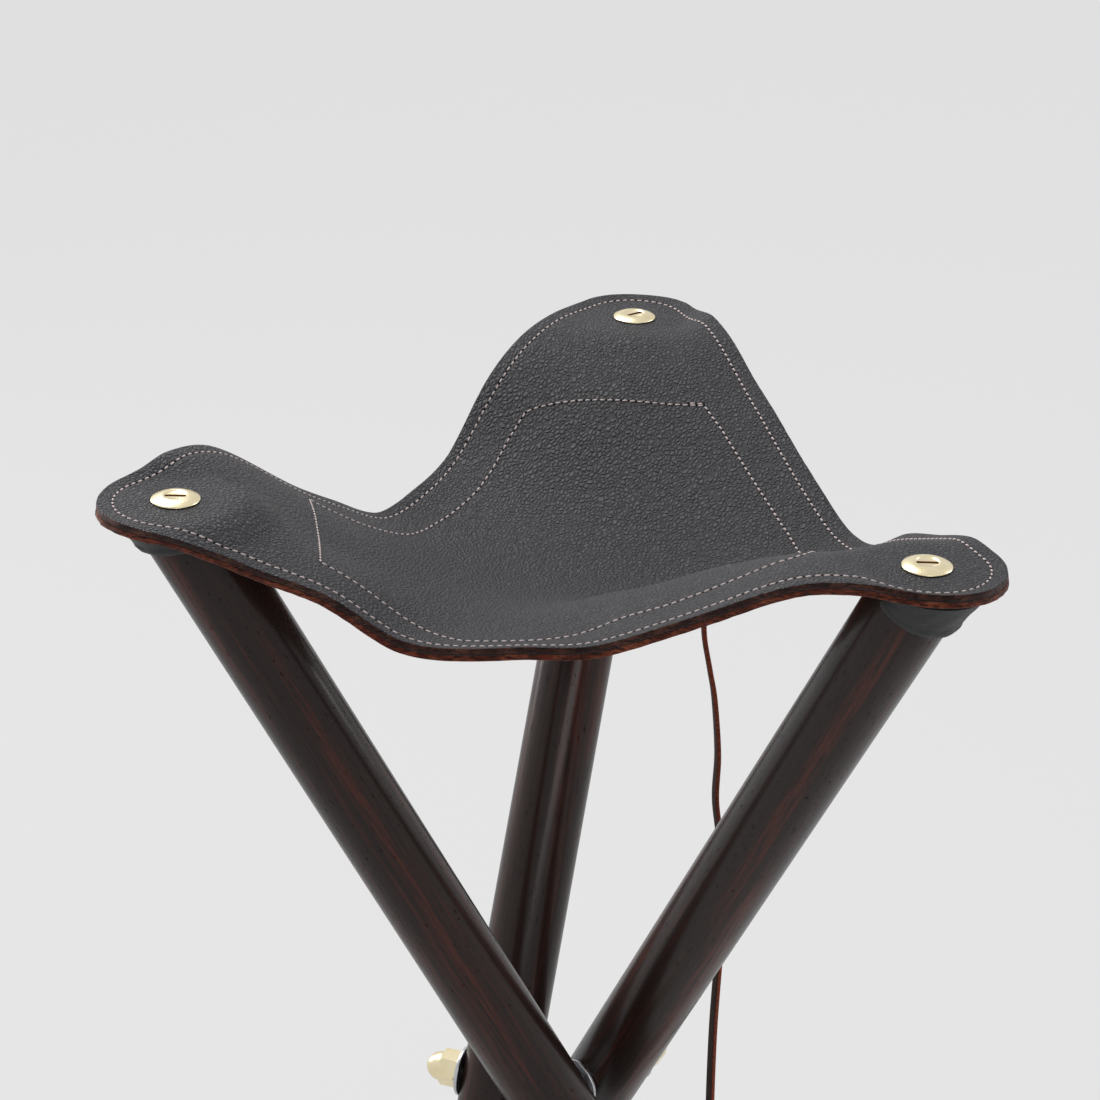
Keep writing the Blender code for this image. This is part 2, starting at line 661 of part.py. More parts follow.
def build_lace(centre, looks):
    """A flat thong sewn under the lining, hanging free between the legs."""
    foot, _ = seat_frame(Vector(LACE_TOP))
    start = foot - Vector((0, 0, GAP + LACE_SEAT))
    points = [start + point for point in smooth_route(LACE_ROUTE, LACE_WIDTH * 2)]
    curve = bpy.data.curves.new("tie_lace", "CURVE")
    curve.dimensions = "3D"
    curve.twist_mode = "Z_UP"
    curve.bevel_depth = LACE_THICKNESS / 2
    curve.extrude = (LACE_WIDTH - LACE_THICKNESS) / 2
    curve.bevel_resolution = 1
    curve.use_fill_caps = True
    spline = curve.splines.new("POLY")
    spline.points.add(len(points) - 1)
    for i, point in enumerate(points):
        spline.points[i].co = (*point, 1)
        spline.points[i].tilt = LACE_TWIST * i / (len(points) - 1)
    curve.materials.append(looks["suede"])
    lace = bpy.data.objects.new("tie_lace", curve)
    bpy.context.collection.objects.link(lace)
    lace.parent = centre
    length = sum((b - a).length for a, b in zip(points, points[1:]))
    print(f"tie lace length {length * 1000:.1f} mm, {len(points)} points")


def centre_on_origin(centre):
    """Moves the whole stool so that its box, the hanging lace aside, is centred over the origin."""
    bpy.context.view_layer.update()
    graph = bpy.context.evaluated_depsgraph_get()
    low = Vector((math.inf, math.inf))
    high = -low
    for thing in bpy.data.objects:
        if thing.type != "MESH" or thing.hide_render:
            continue
        shown = thing.evaluated_get(graph)
        for vertex in shown.data.vertices:
            spot = (shown.matrix_world @ vertex.co).xy
            low = Vector(map(min, low, spot))
            high = Vector(map(max, high, spot))
    middle = (low + high) / 2
    centre.location = (-middle.x, -middle.y, 0)
    bpy.context.view_layer.update()


def main():
    clear_scene()
    looks = {
        "wood": material("dark mahogany", (0.030, 0.010, 0.006), 0.28),
        "leather": material("black grained leather", (0.042, 0.042, 0.047), 0.55),
        "suede": material("red-brown suede", (0.150, 0.045, 0.025), 0.85),
        "brass": material("brass", (0.72, 0.58, 0.33), 0.22, 1.0),
        "steel": material("zinc-plated steel", (0.55, 0.55, 0.56), 0.35, 1.0),
    }
    centre = empty("stool_centre")
    build_legs(centre, looks)
    build_bolt(centre, looks)
    build_seat(centre, looks)
    build_lace(centre, looks)
    centre_on_origin(centre)
    print("bolt axis", tuple(round(v, 5) for v in centre.matrix_world.translation), "hub level", round(HUB_LEVEL, 5))
    for label in CORNERS:
        spot = bpy.data.objects[f"hinge_{label}"].matrix_world.translation
        axis = (math.cos(arm_angle(label)), math.sin(arm_angle(label)))
        print("hinge", label, [round(v, 6) for v in spot], [round(v, 6) for v in axis])
    print("screw circle radius", round(SCREW_RADIUS, 5), "leg top level", round(LEG_TOP_LEVEL, 5))


main()
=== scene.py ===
# %% [markdown]
# # A folding tripod stool with a leather sling seat
# Three lacquered wooden legs cross at a bolt, and a three-cornered leather seat hangs from brass
# screws in their tops. The solids come packed as a fixed frame; this lesson dresses them piece by
# piece and ends in a plain studio.

# %% Frame
import json
import math

import bmesh
import bpy
import numpy as np
from mathutils import Matrix, Vector, noise


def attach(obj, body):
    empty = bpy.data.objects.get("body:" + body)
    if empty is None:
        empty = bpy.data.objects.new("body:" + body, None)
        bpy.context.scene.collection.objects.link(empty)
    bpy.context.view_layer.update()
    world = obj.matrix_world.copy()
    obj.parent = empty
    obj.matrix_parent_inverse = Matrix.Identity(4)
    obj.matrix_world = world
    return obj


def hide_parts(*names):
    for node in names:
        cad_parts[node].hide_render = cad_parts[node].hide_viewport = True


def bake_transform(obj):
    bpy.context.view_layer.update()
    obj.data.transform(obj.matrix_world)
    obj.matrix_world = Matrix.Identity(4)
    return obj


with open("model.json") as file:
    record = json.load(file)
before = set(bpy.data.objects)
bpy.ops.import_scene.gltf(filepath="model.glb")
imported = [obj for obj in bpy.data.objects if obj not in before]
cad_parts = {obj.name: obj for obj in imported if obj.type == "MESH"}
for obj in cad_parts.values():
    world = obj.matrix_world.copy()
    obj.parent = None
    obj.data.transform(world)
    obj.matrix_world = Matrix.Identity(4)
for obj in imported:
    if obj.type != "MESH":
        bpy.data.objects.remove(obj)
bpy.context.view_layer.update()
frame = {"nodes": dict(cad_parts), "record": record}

# %% [markdown]
# The stool is built round the upright axis of the bolt where its legs cross. Each tab of the seat
# points away from that axis, 120 degrees from the next, so most pieces are made once and turned.

# %% The stool's own sizes
AXIS = Vector((-0.00429, -0.00885, 0.0))
HUB_LEVEL = 0.27548
LEG_TOP_LEVEL = 0.54743
LEG_LEAN = math.radians(28)
LEG_RADIUS = 0.015
LEG_ABOVE_BOLT = 0.308
LEG_BELOW_BOLT = 0.312
HINGE_RADIUS = 0.0256
GAP = 0.0003
TABS = {"a": math.radians(210), "b": math.radians(90), "c": math.radians(330)}
TOP_SWING = LEG_ABOVE_BOLT * math.sin(LEG_LEAN)
SCREW_RADIUS = math.hypot(HINGE_RADIUS, TOP_SWING)
ARM_LEAD = math.atan2(TOP_SWING, HINGE_RADIUS)
LINING_LEVEL = LEG_TOP_LEVEL + GAP
SEAT_THICKNESS = 0.0045
print("screws stand", round(SCREW_RADIUS * 1000, 1), "mm from the bolt's axis")

# %% [markdown]
# ## Camera
# The photograph was taken from a little above the seat with a long lens. Its place was worked out
# from the three screws and the legs. The camera is set from three axes: right, up and back.

# %% Camera
IMAGE_SIZE = 1100
FOCAL_IN_PIXELS = 2735.07
SENSOR_WIDTH = 36
CAMERA_PLACE = (0.126606, -0.906054, 0.922948)
PITCH, YAW, ROLL = (math.radians(a) for a in (24.322, -8.881, 1.459))
camera_data = bpy.data.cameras.new("camera")
camera_data.sensor_width = SENSOR_WIDTH
camera_data.lens = SENSOR_WIDTH * FOCAL_IN_PIXELS / IMAGE_SIZE
camera = bpy.data.objects.new("camera", camera_data)
bpy.context.collection.objects.link(camera)
ahead = Vector((math.sin(YAW) * math.cos(PITCH), math.cos(YAW) * math.cos(PITCH), -math.sin(PITCH)))
level_right = Vector((math.cos(YAW), -math.sin(YAW), 0))
level_up = level_right.cross(ahead)
right = level_right * math.cos(ROLL) + level_up * math.sin(ROLL)
up = level_up * math.cos(ROLL) - level_right * math.sin(ROLL)
turn = Matrix((right, up, -ahead)).transposed().to_4x4()
camera.matrix_world = Matrix.Translation(CAMERA_PLACE) @ turn
bpy.context.scene.camera = camera
print("lens", round(camera_data.lens, 2), "mm")

# %% [markdown]
# ## A short way to write materials
# Shader maths reads best as sums. `Wire` wraps a socket, so that `wire * 2 + 1` adds the Math
# nodes. `Nodes.node` adds any other node from its kind, its settings and its sockets. A `Look` is
# the tree of one material; the world has a tree as well.

# %% Wires and looks
class Wire:
    def __init__(self, look, socket):
        self.look = look
        self.socket = socket

    def maths(self, operation, first, second):
        return self.look.node("ShaderNodeMath", {"operation": operation}, {0: first, 1: second})

    def __add__(self, other):
        return self.maths("ADD", self, other)

    def __sub__(self, other):
        return self.maths("SUBTRACT", self, other)

    def __rsub__(self, other):
        return self.maths("SUBTRACT", other, self)

    def __mul__(self, other):
        return self.maths("MULTIPLY", self, other)

    __radd__ = __add__
    __rmul__ = __mul__


class Nodes:
    """A tree of nodes, of a material or of the world."""

    def __init__(self, tree):
        self.tree = tree

    def node(self, kind, settings=None, sockets=None, out=0):
        made = self.tree.nodes.new(kind)
        for key, value in (settings or {}).items():
            setattr(made, key, value)
        for key, value in (sockets or {}).items():
            self.feed(made.inputs[key], value)
        return Wire(self, made.outputs[out])

    def feed(self, socket, value):
        if isinstance(value, Wire):
            self.tree.links.new(value.socket, socket)
        else:
            socket.default_value = value


class Look(Nodes):
    """A material, with its Principled shader's sockets set by name."""

    def __init__(self, name, **constants):
        self.material = bpy.data.materials.new(name)
        self.material.use_nodes = True
        super().__init__(self.material.node_tree)
        self.shader = self.tree.nodes["Principled BSDF"]
        self.set(**constants)

    def set(self, **sockets):
        for name, value in sockets.items():
            self.feed(self.shader.inputs[name.replace("_", " ")], value)


print("wires and looks ready")

# %% [markdown]
# The same few patterns come back in every finish: a place on the piece, a noise over it, a smooth
# threshold, a mix of two colours and a bump. They are short functions of their own.

# %% Patterns
def place(look, source="Object", scale=(1, 1, 1)):
    """A point's place on the piece or in its UV map, stretched by a scale."""
    spot = look.node("ShaderNodeTexCoord", out=source)
    return look.node("ShaderNodeMapping", {}, {"Vector": spot, "Scale": scale})


def stored(look, name, scale=(1, 1, 1)):
    """A place that the mesh keeps as an attribute, stretched by a scale."""
    spot = look.node("ShaderNodeAttribute", {"attribute_name": name}, out="Vector")
    return look.node("ShaderNodeMapping", {}, {"Vector": spot, "Scale": scale})


def speckle(look, vector, scale, detail=4.0, roughness=0.5, distortion=0.0):
    sockets = {"Vector": vector, "Scale": scale, "Detail": detail, "Roughness": roughness}
    return look.node("ShaderNodeTexNoise", {}, {**sockets, "Distortion": distortion})


def spread(look, wire, low, high):
    """A smooth rise from nought at low to one at high."""
    smooth = {"interpolation_type": "SMOOTHSTEP"}
    return look.node("ShaderNodeMapRange", smooth, {0: wire, 1: low, 2: high})


def colours(look, factor, first, second):
    return look.node("ShaderNodeMix", {"data_type": "RGBA"}, {0: factor, 6: first, 7: second}, out=2)


def bump(look, height, distance):
    return look.node("ShaderNodeBump", {}, {"Height": height, "Distance": distance})


def away(look, vector, spot):
    """How far a place is from a spot, in the place's own scale."""
    return look.node("ShaderNodeVectorMath", {"operation": "DISTANCE"}, {0: vector, 1: spot}, out="Value")


def paint(red, green, blue):
    """A colour given as on a screen, 0 to 255, as the shader takes it."""
    parts = [c / 255 for c in (red, green, blue)]
    return (*[c / 12.92 if c <= 0.04045 else ((c + 0.055) / 1.055) ** 2.4 for c in parts], 1.0)


print("mid grey is", round(paint(128, 128, 128)[0], 3))

# %% [markdown]
# ## Black grained leather
# The top leather is black cowhide. Its grain is a net of rounded pebbles a millimetre and a half
# across, parted by creases. A Voronoi pattern's distance to its cell edges gives pebble and crease
# at once, and the creases get a darker colour as painted shade. The grain lies on the seat's flat
# cut, stored in the UV map, so it follows the sheet.
# Where the hide is pulled towards the sag, longer creases run across the pull.

# %% Black grained leather
def hide(look, flat_place, pebble_size):
    """Pebbles, creases and pores of a grained hide: their height, and the pebbles alone."""
    slow = {"Vector": flat_place, "Scale": 300.0, "Detail": 2.0}
    drift = look.node("ShaderNodeTexNoise", {}, slow, out=1)
    bend = {0: drift, 1: (0.0016, 0.0016, 0.0016), 2: flat_place}
    bent = look.node("ShaderNodeVectorMath", {"operation": "MULTIPLY_ADD"}, bend)
    cells = {"Vector": bent, "Scale": 1 / pebble_size}
    edge = look.node("ShaderNodeTexVoronoi", {"feature": "DISTANCE_TO_EDGE"}, cells)
    worn = speckle(look, flat_place, 420.0, 2.0)
    pebbles = spread(look, edge, 0.0, 0.36) * (0.35 + worn * 1.2)
    pores = speckle(look, flat_place, 2600.0, 2.0)
    swell = speckle(look, flat_place, 260.0, 3.0)
    return pebbles + pores * 0.16 + swell * 0.7, spread(look, edge, 0.0, 0.16)


grained = Look("black_grained_leather", Specular_IOR_Level=0.4)
cut_place = place(grained, "UV")
grain_height, pebbles = hide(grained, cut_place, 0.00165)
SAG_MIDDLE = (-0.010, -0.030, 0.0)
sag = spread(grained, away(grained, cut_place, SAG_MIDDLE), 0.095, 0.020)
creases = speckle(grained, place(grained, "UV", (1.0, 0.45, 1.0)), 210.0, 3.0, 0.55, 1.2)
patches = speckle(grained, cut_place, 24.0, 3.0)
tone = colours(grained, patches, paint(44, 43, 47), paint(55, 54, 59))
grained.set(
    # The creases take the darker colour: painted shade in the creases.
    Base_Color=colours(grained, pebbles, paint(29, 28, 31), tone),
    Roughness=0.66 - pebbles * 0.10 + patches * 0.08,
    Normal=bump(grained, grain_height + creases * sag * 1.2, 0.00060),
)
print("grained leather nodes", len(grained.tree.nodes))

# %% [markdown]
# The small pockets under the tabs are cut from the same hide with a finer, darker grain. They have
# no flat cut to lie on, so their grain reads the piece's own place in space.

# %% Pocket leather
pocket_hide = Look("pocket_leather", Specular_IOR_Level=0.45)
pocket_place = place(pocket_hide)
pocket_height, _ = hide(pocket_hide, pocket_place, 0.0012)
pocket_patches = speckle(pocket_hide, pocket_place, 60.0, 3.0)
pocket_hide.set(
    Base_Color=colours(pocket_hide, pocket_patches, paint(28, 29, 31), paint(46, 47, 49)),
    Roughness=0.52 + pocket_patches * 0.12,
    Normal=bump(pocket_hide, pocket_height, 0.00010),
)
print("pocket leather nodes", len(pocket_hide.tree.nodes))

# %% [markdown]
# ## Suede and cut edges
# The cut edge and the flesh side are red-brown: matt, fibrous, and darker where the knife burnished
# them. Short noise gives the nap, and a slower one the patches of paler fibre.

# %% Suede and cut edges
def fibres(name, dark, middle, pale):
    """A matt, fibrous look in three tones."""
    look = Look(name, Specular_IOR_Level=0.15, Sheen_Weight=0.25, Sheen_Roughness=0.5)
    spot = place(look)
    nap = speckle(look, spot, 1500.0, 5.0, 0.7)
    streaks = speckle(look, place(look, "Object", (0.5, 0.5, 2.2)), 620.0, 4.0, 0.65)
    tufts = speckle(look, spot, 130.0, 4.0, 0.6)
    warm = colours(look, spread(look, tufts, 0.40, 0.68), middle, pale)
    look.set(
        Base_Color=colours(look, spread(look, streaks, 0.36, 0.60), dark, warm),
        Roughness=0.88 + nap * 0.12,
        Normal=bump(look, nap + streaks * 1.2, 0.00035),
    )
    return look


cut_edge = fibres("cut_edge", paint(26, 15, 14), paint(58, 31, 26), paint(104, 66, 54))
suede = fibres("red_brown_suede", paint(50, 22, 17), paint(106, 46, 30), paint(152, 82, 56))
print("suede nodes", len(suede.tree.nodes))

# %% [markdown]
# ## Thread
# The seat is sewn with pale waxed thread. Each stitch sinks between two needle holes, drawn as near-black dots
# of painted shade.

# %% Thread, and needle holes of painted shade
thread = Look("pale_thread", Roughness=0.7, Sheen_Weight=0.3)
strands = speckle(thread, place(thread), 3200.0, 3.0)
thread.set(
    Base_Color=colours(thread, strands, paint(178, 160, 158), paint(232, 216, 212)),
    Normal=bump(thread, strands, 0.0001),
)

# Near-black colour for the needle holes: painted shade, where no light reaches into a hole.
needle_hole_shade = Look("needle_hole_shade", Roughness=0.95, Specular_IOR_Level=0.1)
hole_shade_speckle = speckle(needle_hole_shade, place(needle_hole_shade), 2000.0)
needle_hole_shade.set(
    Base_Color=colours(needle_hole_shade, hole_shade_speckle, paint(12, 11, 12), paint(24, 22, 23)),
    Normal=bump(needle_hole_shade, hole_shade_speckle, 0.0001),
)
print("thread nodes", len(thread.tree.nodes))

# %% [markdown]
# ## Metals
# The screws and cap nuts are pale polished brass, a little hazy from handling, and browner in the
# slot. The bolt, washers and inserts are zinc-plated steel, with a dull crystalline bloom.

# %% Brass and zinc
def metal(name, first, second, roughness, haze_scale):
    look = Look(name, Metallic=1.0)
    spot = place(look)
    scuffs = speckle(look, place(look, "Object", (1, 0.25, 1)), 900.0, 4.0, 0.6)
    haze = speckle(look, spot, haze_scale, 4.0)
    look.set(
        Base_Color=colours(look, haze, first, second),
        Roughness=roughness + scuffs * 0.10 + haze * 0.08,
        Normal=bump(look, scuffs, 0.00002),
    )
    return look


brass = metal("polished_brass", paint(226, 208, 160), paint(244, 234, 204), 0.20, 180.0)
# Inside the slot the brass is darker and browner.
darker_slot_brass = metal("brass_in_the_slot", paint(112, 78, 38), paint(168, 124, 66), 0.45, 400.0)
zinc = metal("zinc_plate", paint(168, 170, 174), paint(206, 207, 210), 0.30, 320.0)
print("brass nodes", len(brass.tree.nodes))

# %% [markdown]
# ## Dark mahogany under lacquer
# A leg is turned from one stick, so its streaks run along it from end to end. Each leg stores its
# own straight place as an attribute called grain; a noise squeezed along the stick gives streaks,
# and a glossy coat lies over them. Slow ripples in the lacquer break up its long reflections.
# One leg has a small nick across it, a hand's breadth below its top.

# %% Dark mahogany
wood = Look("dark_mahogany", Coat_Roughness=0.20, Coat_IOR=1.4, Specular_IOR_Level=0.1)
figure = speckle(wood, stored(wood, "grain", (1.0, 1.0, 0.030)), 150.0, 4.0, 0.55, 0.5)
fine = speckle(wood, stored(wood, "grain", (1.0, 1.0, 0.045)), 900.0, 5.0, 0.65)
ripple = speckle(wood, stored(wood, "grain", (1.0, 1.0, 0.25)), 110.0, 3.0)
flecks = speckle(wood, stored(wood, "grain", (1.0, 1.0, 0.5)), 800.0, 3.0, 0.6)
NICK_SQUEEZE = 4.5
nick_place = stored(wood, "grain", (1.0, 1.0, NICK_SQUEEZE))
nick_away = away(wood, nick_place, (0.0130, 0.0076, 0.2148 * NICK_SQUEEZE))
nick = spread(wood, nick_away, 0.0050, 0.0025)
red = spread(wood, figure, 0.46, 0.66)
stain = colours(wood, red, paint(36, 20, 15), paint(76, 33, 22))
wood.set(
    Base_Color=colours(wood, spread(wood, fine, 0.40, 0.66), stain, paint(28, 16, 13)),
    Roughness=0.40 + fine * 0.25,
    Coat_Weight=0.6 - spread(wood, flecks, 0.60, 0.72) * 0.6,
    Normal=bump(wood, fine * 0.5 + ripple * 1.2 + flecks * 0.25 - nick * 2.0, 0.00022),
)
print("wood nodes", len(wood.tree.nodes))

# %% [markdown]
# ## Shaping helpers
# Most hard pieces are turned on a lathe, so a profile is spun round an axis. Holes are cut with
# Boolean modifiers, whose result becomes the mesh.

# %% Shaping helpers
def show(name, mesh):
    piece = bpy.data.objects.new(name, mesh)
    bpy.context.collection.objects.link(piece)
    return piece


def as_mesh(bm, name, looks=()):
    mesh = bpy.data.meshes.new(name)
    bm.to_mesh(mesh)
    bm.free()
    for look in looks:
        mesh.materials.append(look.material)
    return mesh


def finished(bm, name, looks, crisp_over=40):
    """The mesh of a bmesh, faces outward, smooth except at corners sharper than an angle."""
    bmesh.ops.recalc_face_normals(bm, faces=bm.faces)
    mesh = as_mesh(bm, name, looks)
    mesh.shade_smooth()
    mesh.set_sharp_from_angle(angle=math.radians(crisp_over))
    return mesh


def lathe(profile, steps, axis=(0, 0, 1)):
    """Points (radius, height) spun round an axis through the origin."""
    bm = bmesh.new()
    corners = [bm.verts.new((radius, 0, height)) for radius, height in profile]
    edges = [bm.edges.new(pair) for pair in zip(corners, corners[1:])]
    around = {"cent": (0, 0, 0), "axis": (0, 0, 1), "angle": math.tau, "steps": steps}
    bmesh.ops.spin(bm, geom=corners + edges, use_merge=True, **around)
    bmesh.ops.remove_doubles(bm, verts=bm.verts, dist=1e-6)
    turn = Vector((0, 0, 1)).rotation_difference(Vector(axis)).to_matrix().to_4x4()
    bmesh.ops.transform(bm, matrix=turn, verts=bm.verts)
    return bm


def rod(radius, low, high, steps=32, axis=(0, 0, 1)):
    return finished(lathe([(0, low), (radius, low), (radius, high), (0, high)], steps, axis), "rod", ())


def carved(mesh, cutters, crisp_over=30):
    """The mesh with each cutter's shape taken away."""
    block = show("block", mesh)
    tools = []
    for cutter in cutters:
        tool = show("tool", cutter)
        step = block.modifiers.new("cut", "BOOLEAN")
        step.operation = "DIFFERENCE"
        step.object = tool
        step.solver = "EXACT"
        tools.append(tool)
    bpy.context.view_layer.update()
    graph = bpy.context.evaluated_depsgraph_get()
    done = bpy.data.meshes.new_from_object(block.evaluated_get(graph))
    for thing in (block, *tools):
        bpy.data.objects.remove(thing)
    done.shade_smooth()
    done.set_sharp_from_angle(angle=math.radians(crisp_over))
    return done


def round_corners(piece, width, segments, over):
    """A Bevel modifier on corners sharper than an angle."""
    step = piece.modifiers.new("round_corners", "BEVEL")
    step.width = width
    step.segments = segments
    step.limit_method = "ANGLE"
    step.angle_limit = math.radians(over)


def leg_frame(tab):
    """Where a leg's own space lies: X along its bolt arm, Z up, the crossing at its origin."""
    bearing = TABS[tab] + ARM_LEAD
    arm = Vector((math.cos(bearing), math.sin(bearing), 0)) * HINGE_RADIUS
    return Matrix.Translation(AXIS + arm + Vector((0, 0, HUB_LEVEL))) @ Matrix.Rotation(bearing, 4, "Z")


def fit(piece, body, slot, *nodes):
    """The piece moves with a body and stands for the solids it covers."""
    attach(piece, body)
    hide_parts(*nodes)


print("leg a's crossing is at", [round(v, 4) for v in leg_frame("a").translation])

# %% [markdown]
# ## Legs
# A leg is a round stick cut level at both ends, drilled for the bolt and for the seat screw's
# insert, with a flat spot face where each washer bears. It is modelled upright, leaned over, and
# trimmed by two level planes. Extra rings near the holes keep the long faces smooth.

# %% Leg stick
DOWN = Vector((0, math.sin(LEG_LEAN), -math.cos(LEG_LEAN)))
LEAN = Matrix.Rotation(LEG_LEAN, 4, "X")
LEG_TOP = -LEG_ABOVE_BOLT * DOWN
LEG_OVERRUN = 0.02
LEG_END_CHAMFER = 0.0012
RING_HEIGHTS = (-0.05, -0.018, 0.018, 0.05, 0.15, 0.25, 0.28, -0.15, -0.25)
SPOT_FACE = 0.0142
SPOT_RADIUS = 0.0103
BOLT_HOLE_RADIUS = 0.0043
INSERT_HOLE_RADIUS = 0.0055
INSERT_DEPTH = 0.0139
DRILL_REACH = 0.03


def leg_stick():
    """The stick about the bolt's place, leaned over and cut level at both ends."""
    bm = bmesh.new()
    middle = Matrix.Translation((0, 0, (LEG_ABOVE_BOLT - LEG_BELOW_BOLT) / 2))
    length = LEG_ABOVE_BOLT + LEG_BELOW_BOLT + 2 * LEG_OVERRUN
    size = {"radius1": LEG_RADIUS, "radius2": LEG_RADIUS, "depth": length}
    bmesh.ops.create_cone(bm, cap_ends=True, segments=72, matrix=middle, **size)
    for height in RING_HEIGHTS:
        parts = bm.verts[:] + bm.edges[:] + bm.faces[:]
        bmesh.ops.bisect_plane(bm, geom=parts, plane_co=(0, 0, height), plane_no=(0, 0, 1))
    bmesh.ops.transform(bm, matrix=LEAN, verts=bm.verts)
    for point, normal in ((LEG_TOP, (0, 0, 1)), (LEG_BELOW_BOLT * DOWN, (0, 0, -1))):
        parts = bm.verts[:] + bm.edges[:] + bm.faces[:]
        cut = bmesh.ops.bisect_plane(bm, geom=parts, plane_co=point, plane_no=normal, clear_outer=True)
        rim = [item for item in cut["geom_cut"] if isinstance(item, bmesh.types.BMEdge)]
        bmesh.ops.edgeloop_fill(bm, edges=rim)
        corner = {"offset": LEG_END_CHAMFER, "segments": 3, "profile": 0.5}
        bmesh.ops.bevel(bm, geom=rim, affect="EDGES", material=-1, **corner)
    return finished(bm, "leg_stick", (wood,))


drills = [rod(BOLT_HOLE_RADIUS, -DRILL_REACH, DRILL_REACH, 32, (1, 0, 0))]
drills += [rod(SPOT_RADIUS, SPOT_FACE, DRILL_REACH, 48, (side, 0, 0)) for side in (-1, 1)]
insert_hole = rod(INSERT_HOLE_RADIUS, -INSERT_DEPTH, DRILL_REACH)
insert_hole.transform(Matrix.Translation(LEG_TOP))
stick = carved(leg_stick(), drills + [insert_hole])
print("a leg has", len(stick.polygons), "faces")

# %% [markdown]
# Each leg is a copy of the stick, moved into place. The grain attribute is the vertex's place along
# the straight stick, shifted for each leg so that no two legs show the same streaks.

# %% Three legs
STREAK_SHIFT = 1.7
for number, tab in enumerate(TABS):
    mesh = stick.copy()
    flat = np.empty(len(mesh.vertices) * 3)
    mesh.vertices.foreach_get("co", flat)
    straight = flat.reshape(-1, 3) @ np.array(LEAN.to_3x3()) + (0, 0, number * STREAK_SHIFT)
    mesh.attributes.new("grain", "FLOAT_VECTOR", "POINT").data.foreach_set("vector", straight.ravel())
    mesh.transform(leg_frame(tab))
    fit(show(f"leg_{tab}_lacquered", mesh), f"leg_{tab}", "leg_wood", f"leg_{tab}")
print("legs stand")

# %% [markdown]
# ## Seat screws
# The head is a low brass cone with a dished middle and a coin slot. It is turned in one with its
# shank, and the slot is a rounded bar cut from it. Faces inside the slot get the browner brass.

# %% Seat screws
SCREW_SEAT = LINING_LEVEL + SEAT_THICKNESS + GAP
SLOT_TURNS = {"a": math.radians(10), "b": math.radians(48), "c": math.radians(8)}


SHANK_RADIUS = 0.0030
SHANK_LENGTH = 0.0171
SHANK_CHAMFER = 0.0006
HEAD_RIM = ((0.0081, -0.0003), (0.0084, -0.0001), (0.0085, 0.0002), (0.0084, 0.0004))
DISH_RIM = ((0.0042, 0.0017), (0.0040, 0.0016), (0.0038, 0.0014), (0.0036, 0.0013))
CONE_STEPS = 13
CONE_SWELL = 0.0003
SLOT_LENGTH = 0.0074
SLOT_WIDTH = 0.0016
SLOT_FLOOR = 0.0003
SLOT_END_ROUND = 0.0006


def screw_mesh(turn):
    """A seat screw with its head's underside at the origin, and its slot turned."""
    profile = [(0, -SHANK_LENGTH), (SHANK_RADIUS - SHANK_CHAMFER, -SHANK_LENGTH)]
    profile += [(SHANK_RADIUS, SHANK_CHAMFER - SHANK_LENGTH), (SHANK_RADIUS, 0), *HEAD_RIM]
    (outer, low), (inner, high) = HEAD_RIM[-1], DISH_RIM[0]
    for step in range(1, CONE_STEPS):
        share = step / CONE_STEPS
        swell = CONE_SWELL * math.sin(math.pi * share)
        profile.append((outer + (inner - outer) * share, low + (high - low) * share + swell))
    profile += [*DISH_RIM, (0, DISH_RIM[-1][1])]
    head = finished(lathe(profile, 64), "seat_screw", (brass, darker_slot_brass), 50)
    bar = bmesh.new()
    bar_height = 0.0030
    size = Matrix.Diagonal((SLOT_LENGTH, SLOT_WIDTH, bar_height, 1))
    bmesh.ops.create_cube(bar, size=1.0, matrix=size)
    ends = [edge for edge in bar.edges if abs(edge.verts[0].co.z - edge.verts[1].co.z) > 0.001]
    corner = {"offset": SLOT_END_ROUND, "segments": 4, "profile": 0.5}
    bmesh.ops.bevel(bar, geom=ends, affect="EDGES", material=-1, **corner)
    bmesh.ops.translate(bar, vec=(0, 0, SLOT_FLOOR + bar_height / 2), verts=bar.verts)
    bmesh.ops.rotate(bar, cent=(0, 0, 0), matrix=Matrix.Rotation(turn, 3, "Z"), verts=bar.verts)
    mesh = carved(head, [finished(bar, "slot_bar", ())], 40)
    back = Matrix.Rotation(-turn, 3, "Z")
    for face in mesh.polygons:
        spot = back @ face.center
        in_plan = abs(spot.x) < SLOT_LENGTH / 2 + 0.00005 and abs(spot.y) < SLOT_WIDTH / 2 + 0.00004
        inside = in_plan and SLOT_FLOOR - 0.0001 < spot.z < DISH_RIM[-1][1] - 0.00001
        face.material_index = 1 if inside else 0
    return mesh


for tab, angle in TABS.items():
    screw = screw_mesh(SLOT_TURNS[tab])
    spot = AXIS + Vector((math.cos(angle), math.sin(angle), 0)) * SCREW_RADIUS
    screw.transform(Matrix.Translation(spot + Vector((0, 0, SCREW_SEAT))))
    fit(show(f"seat_screw_{tab}_brass", screw), f"leg_{tab}", "brass", f"seat_screw_{tab}")
print("screw heads sit at", round(SCREW_SEAT, 4))

# %% [markdown]
# ## Bolt, washers, nuts and inserts
# These solids already have the right shape. A merged copy of each is shaded smooth and its corners
# are broken by a small Bevel, so that the edges catch light as real hardware does.

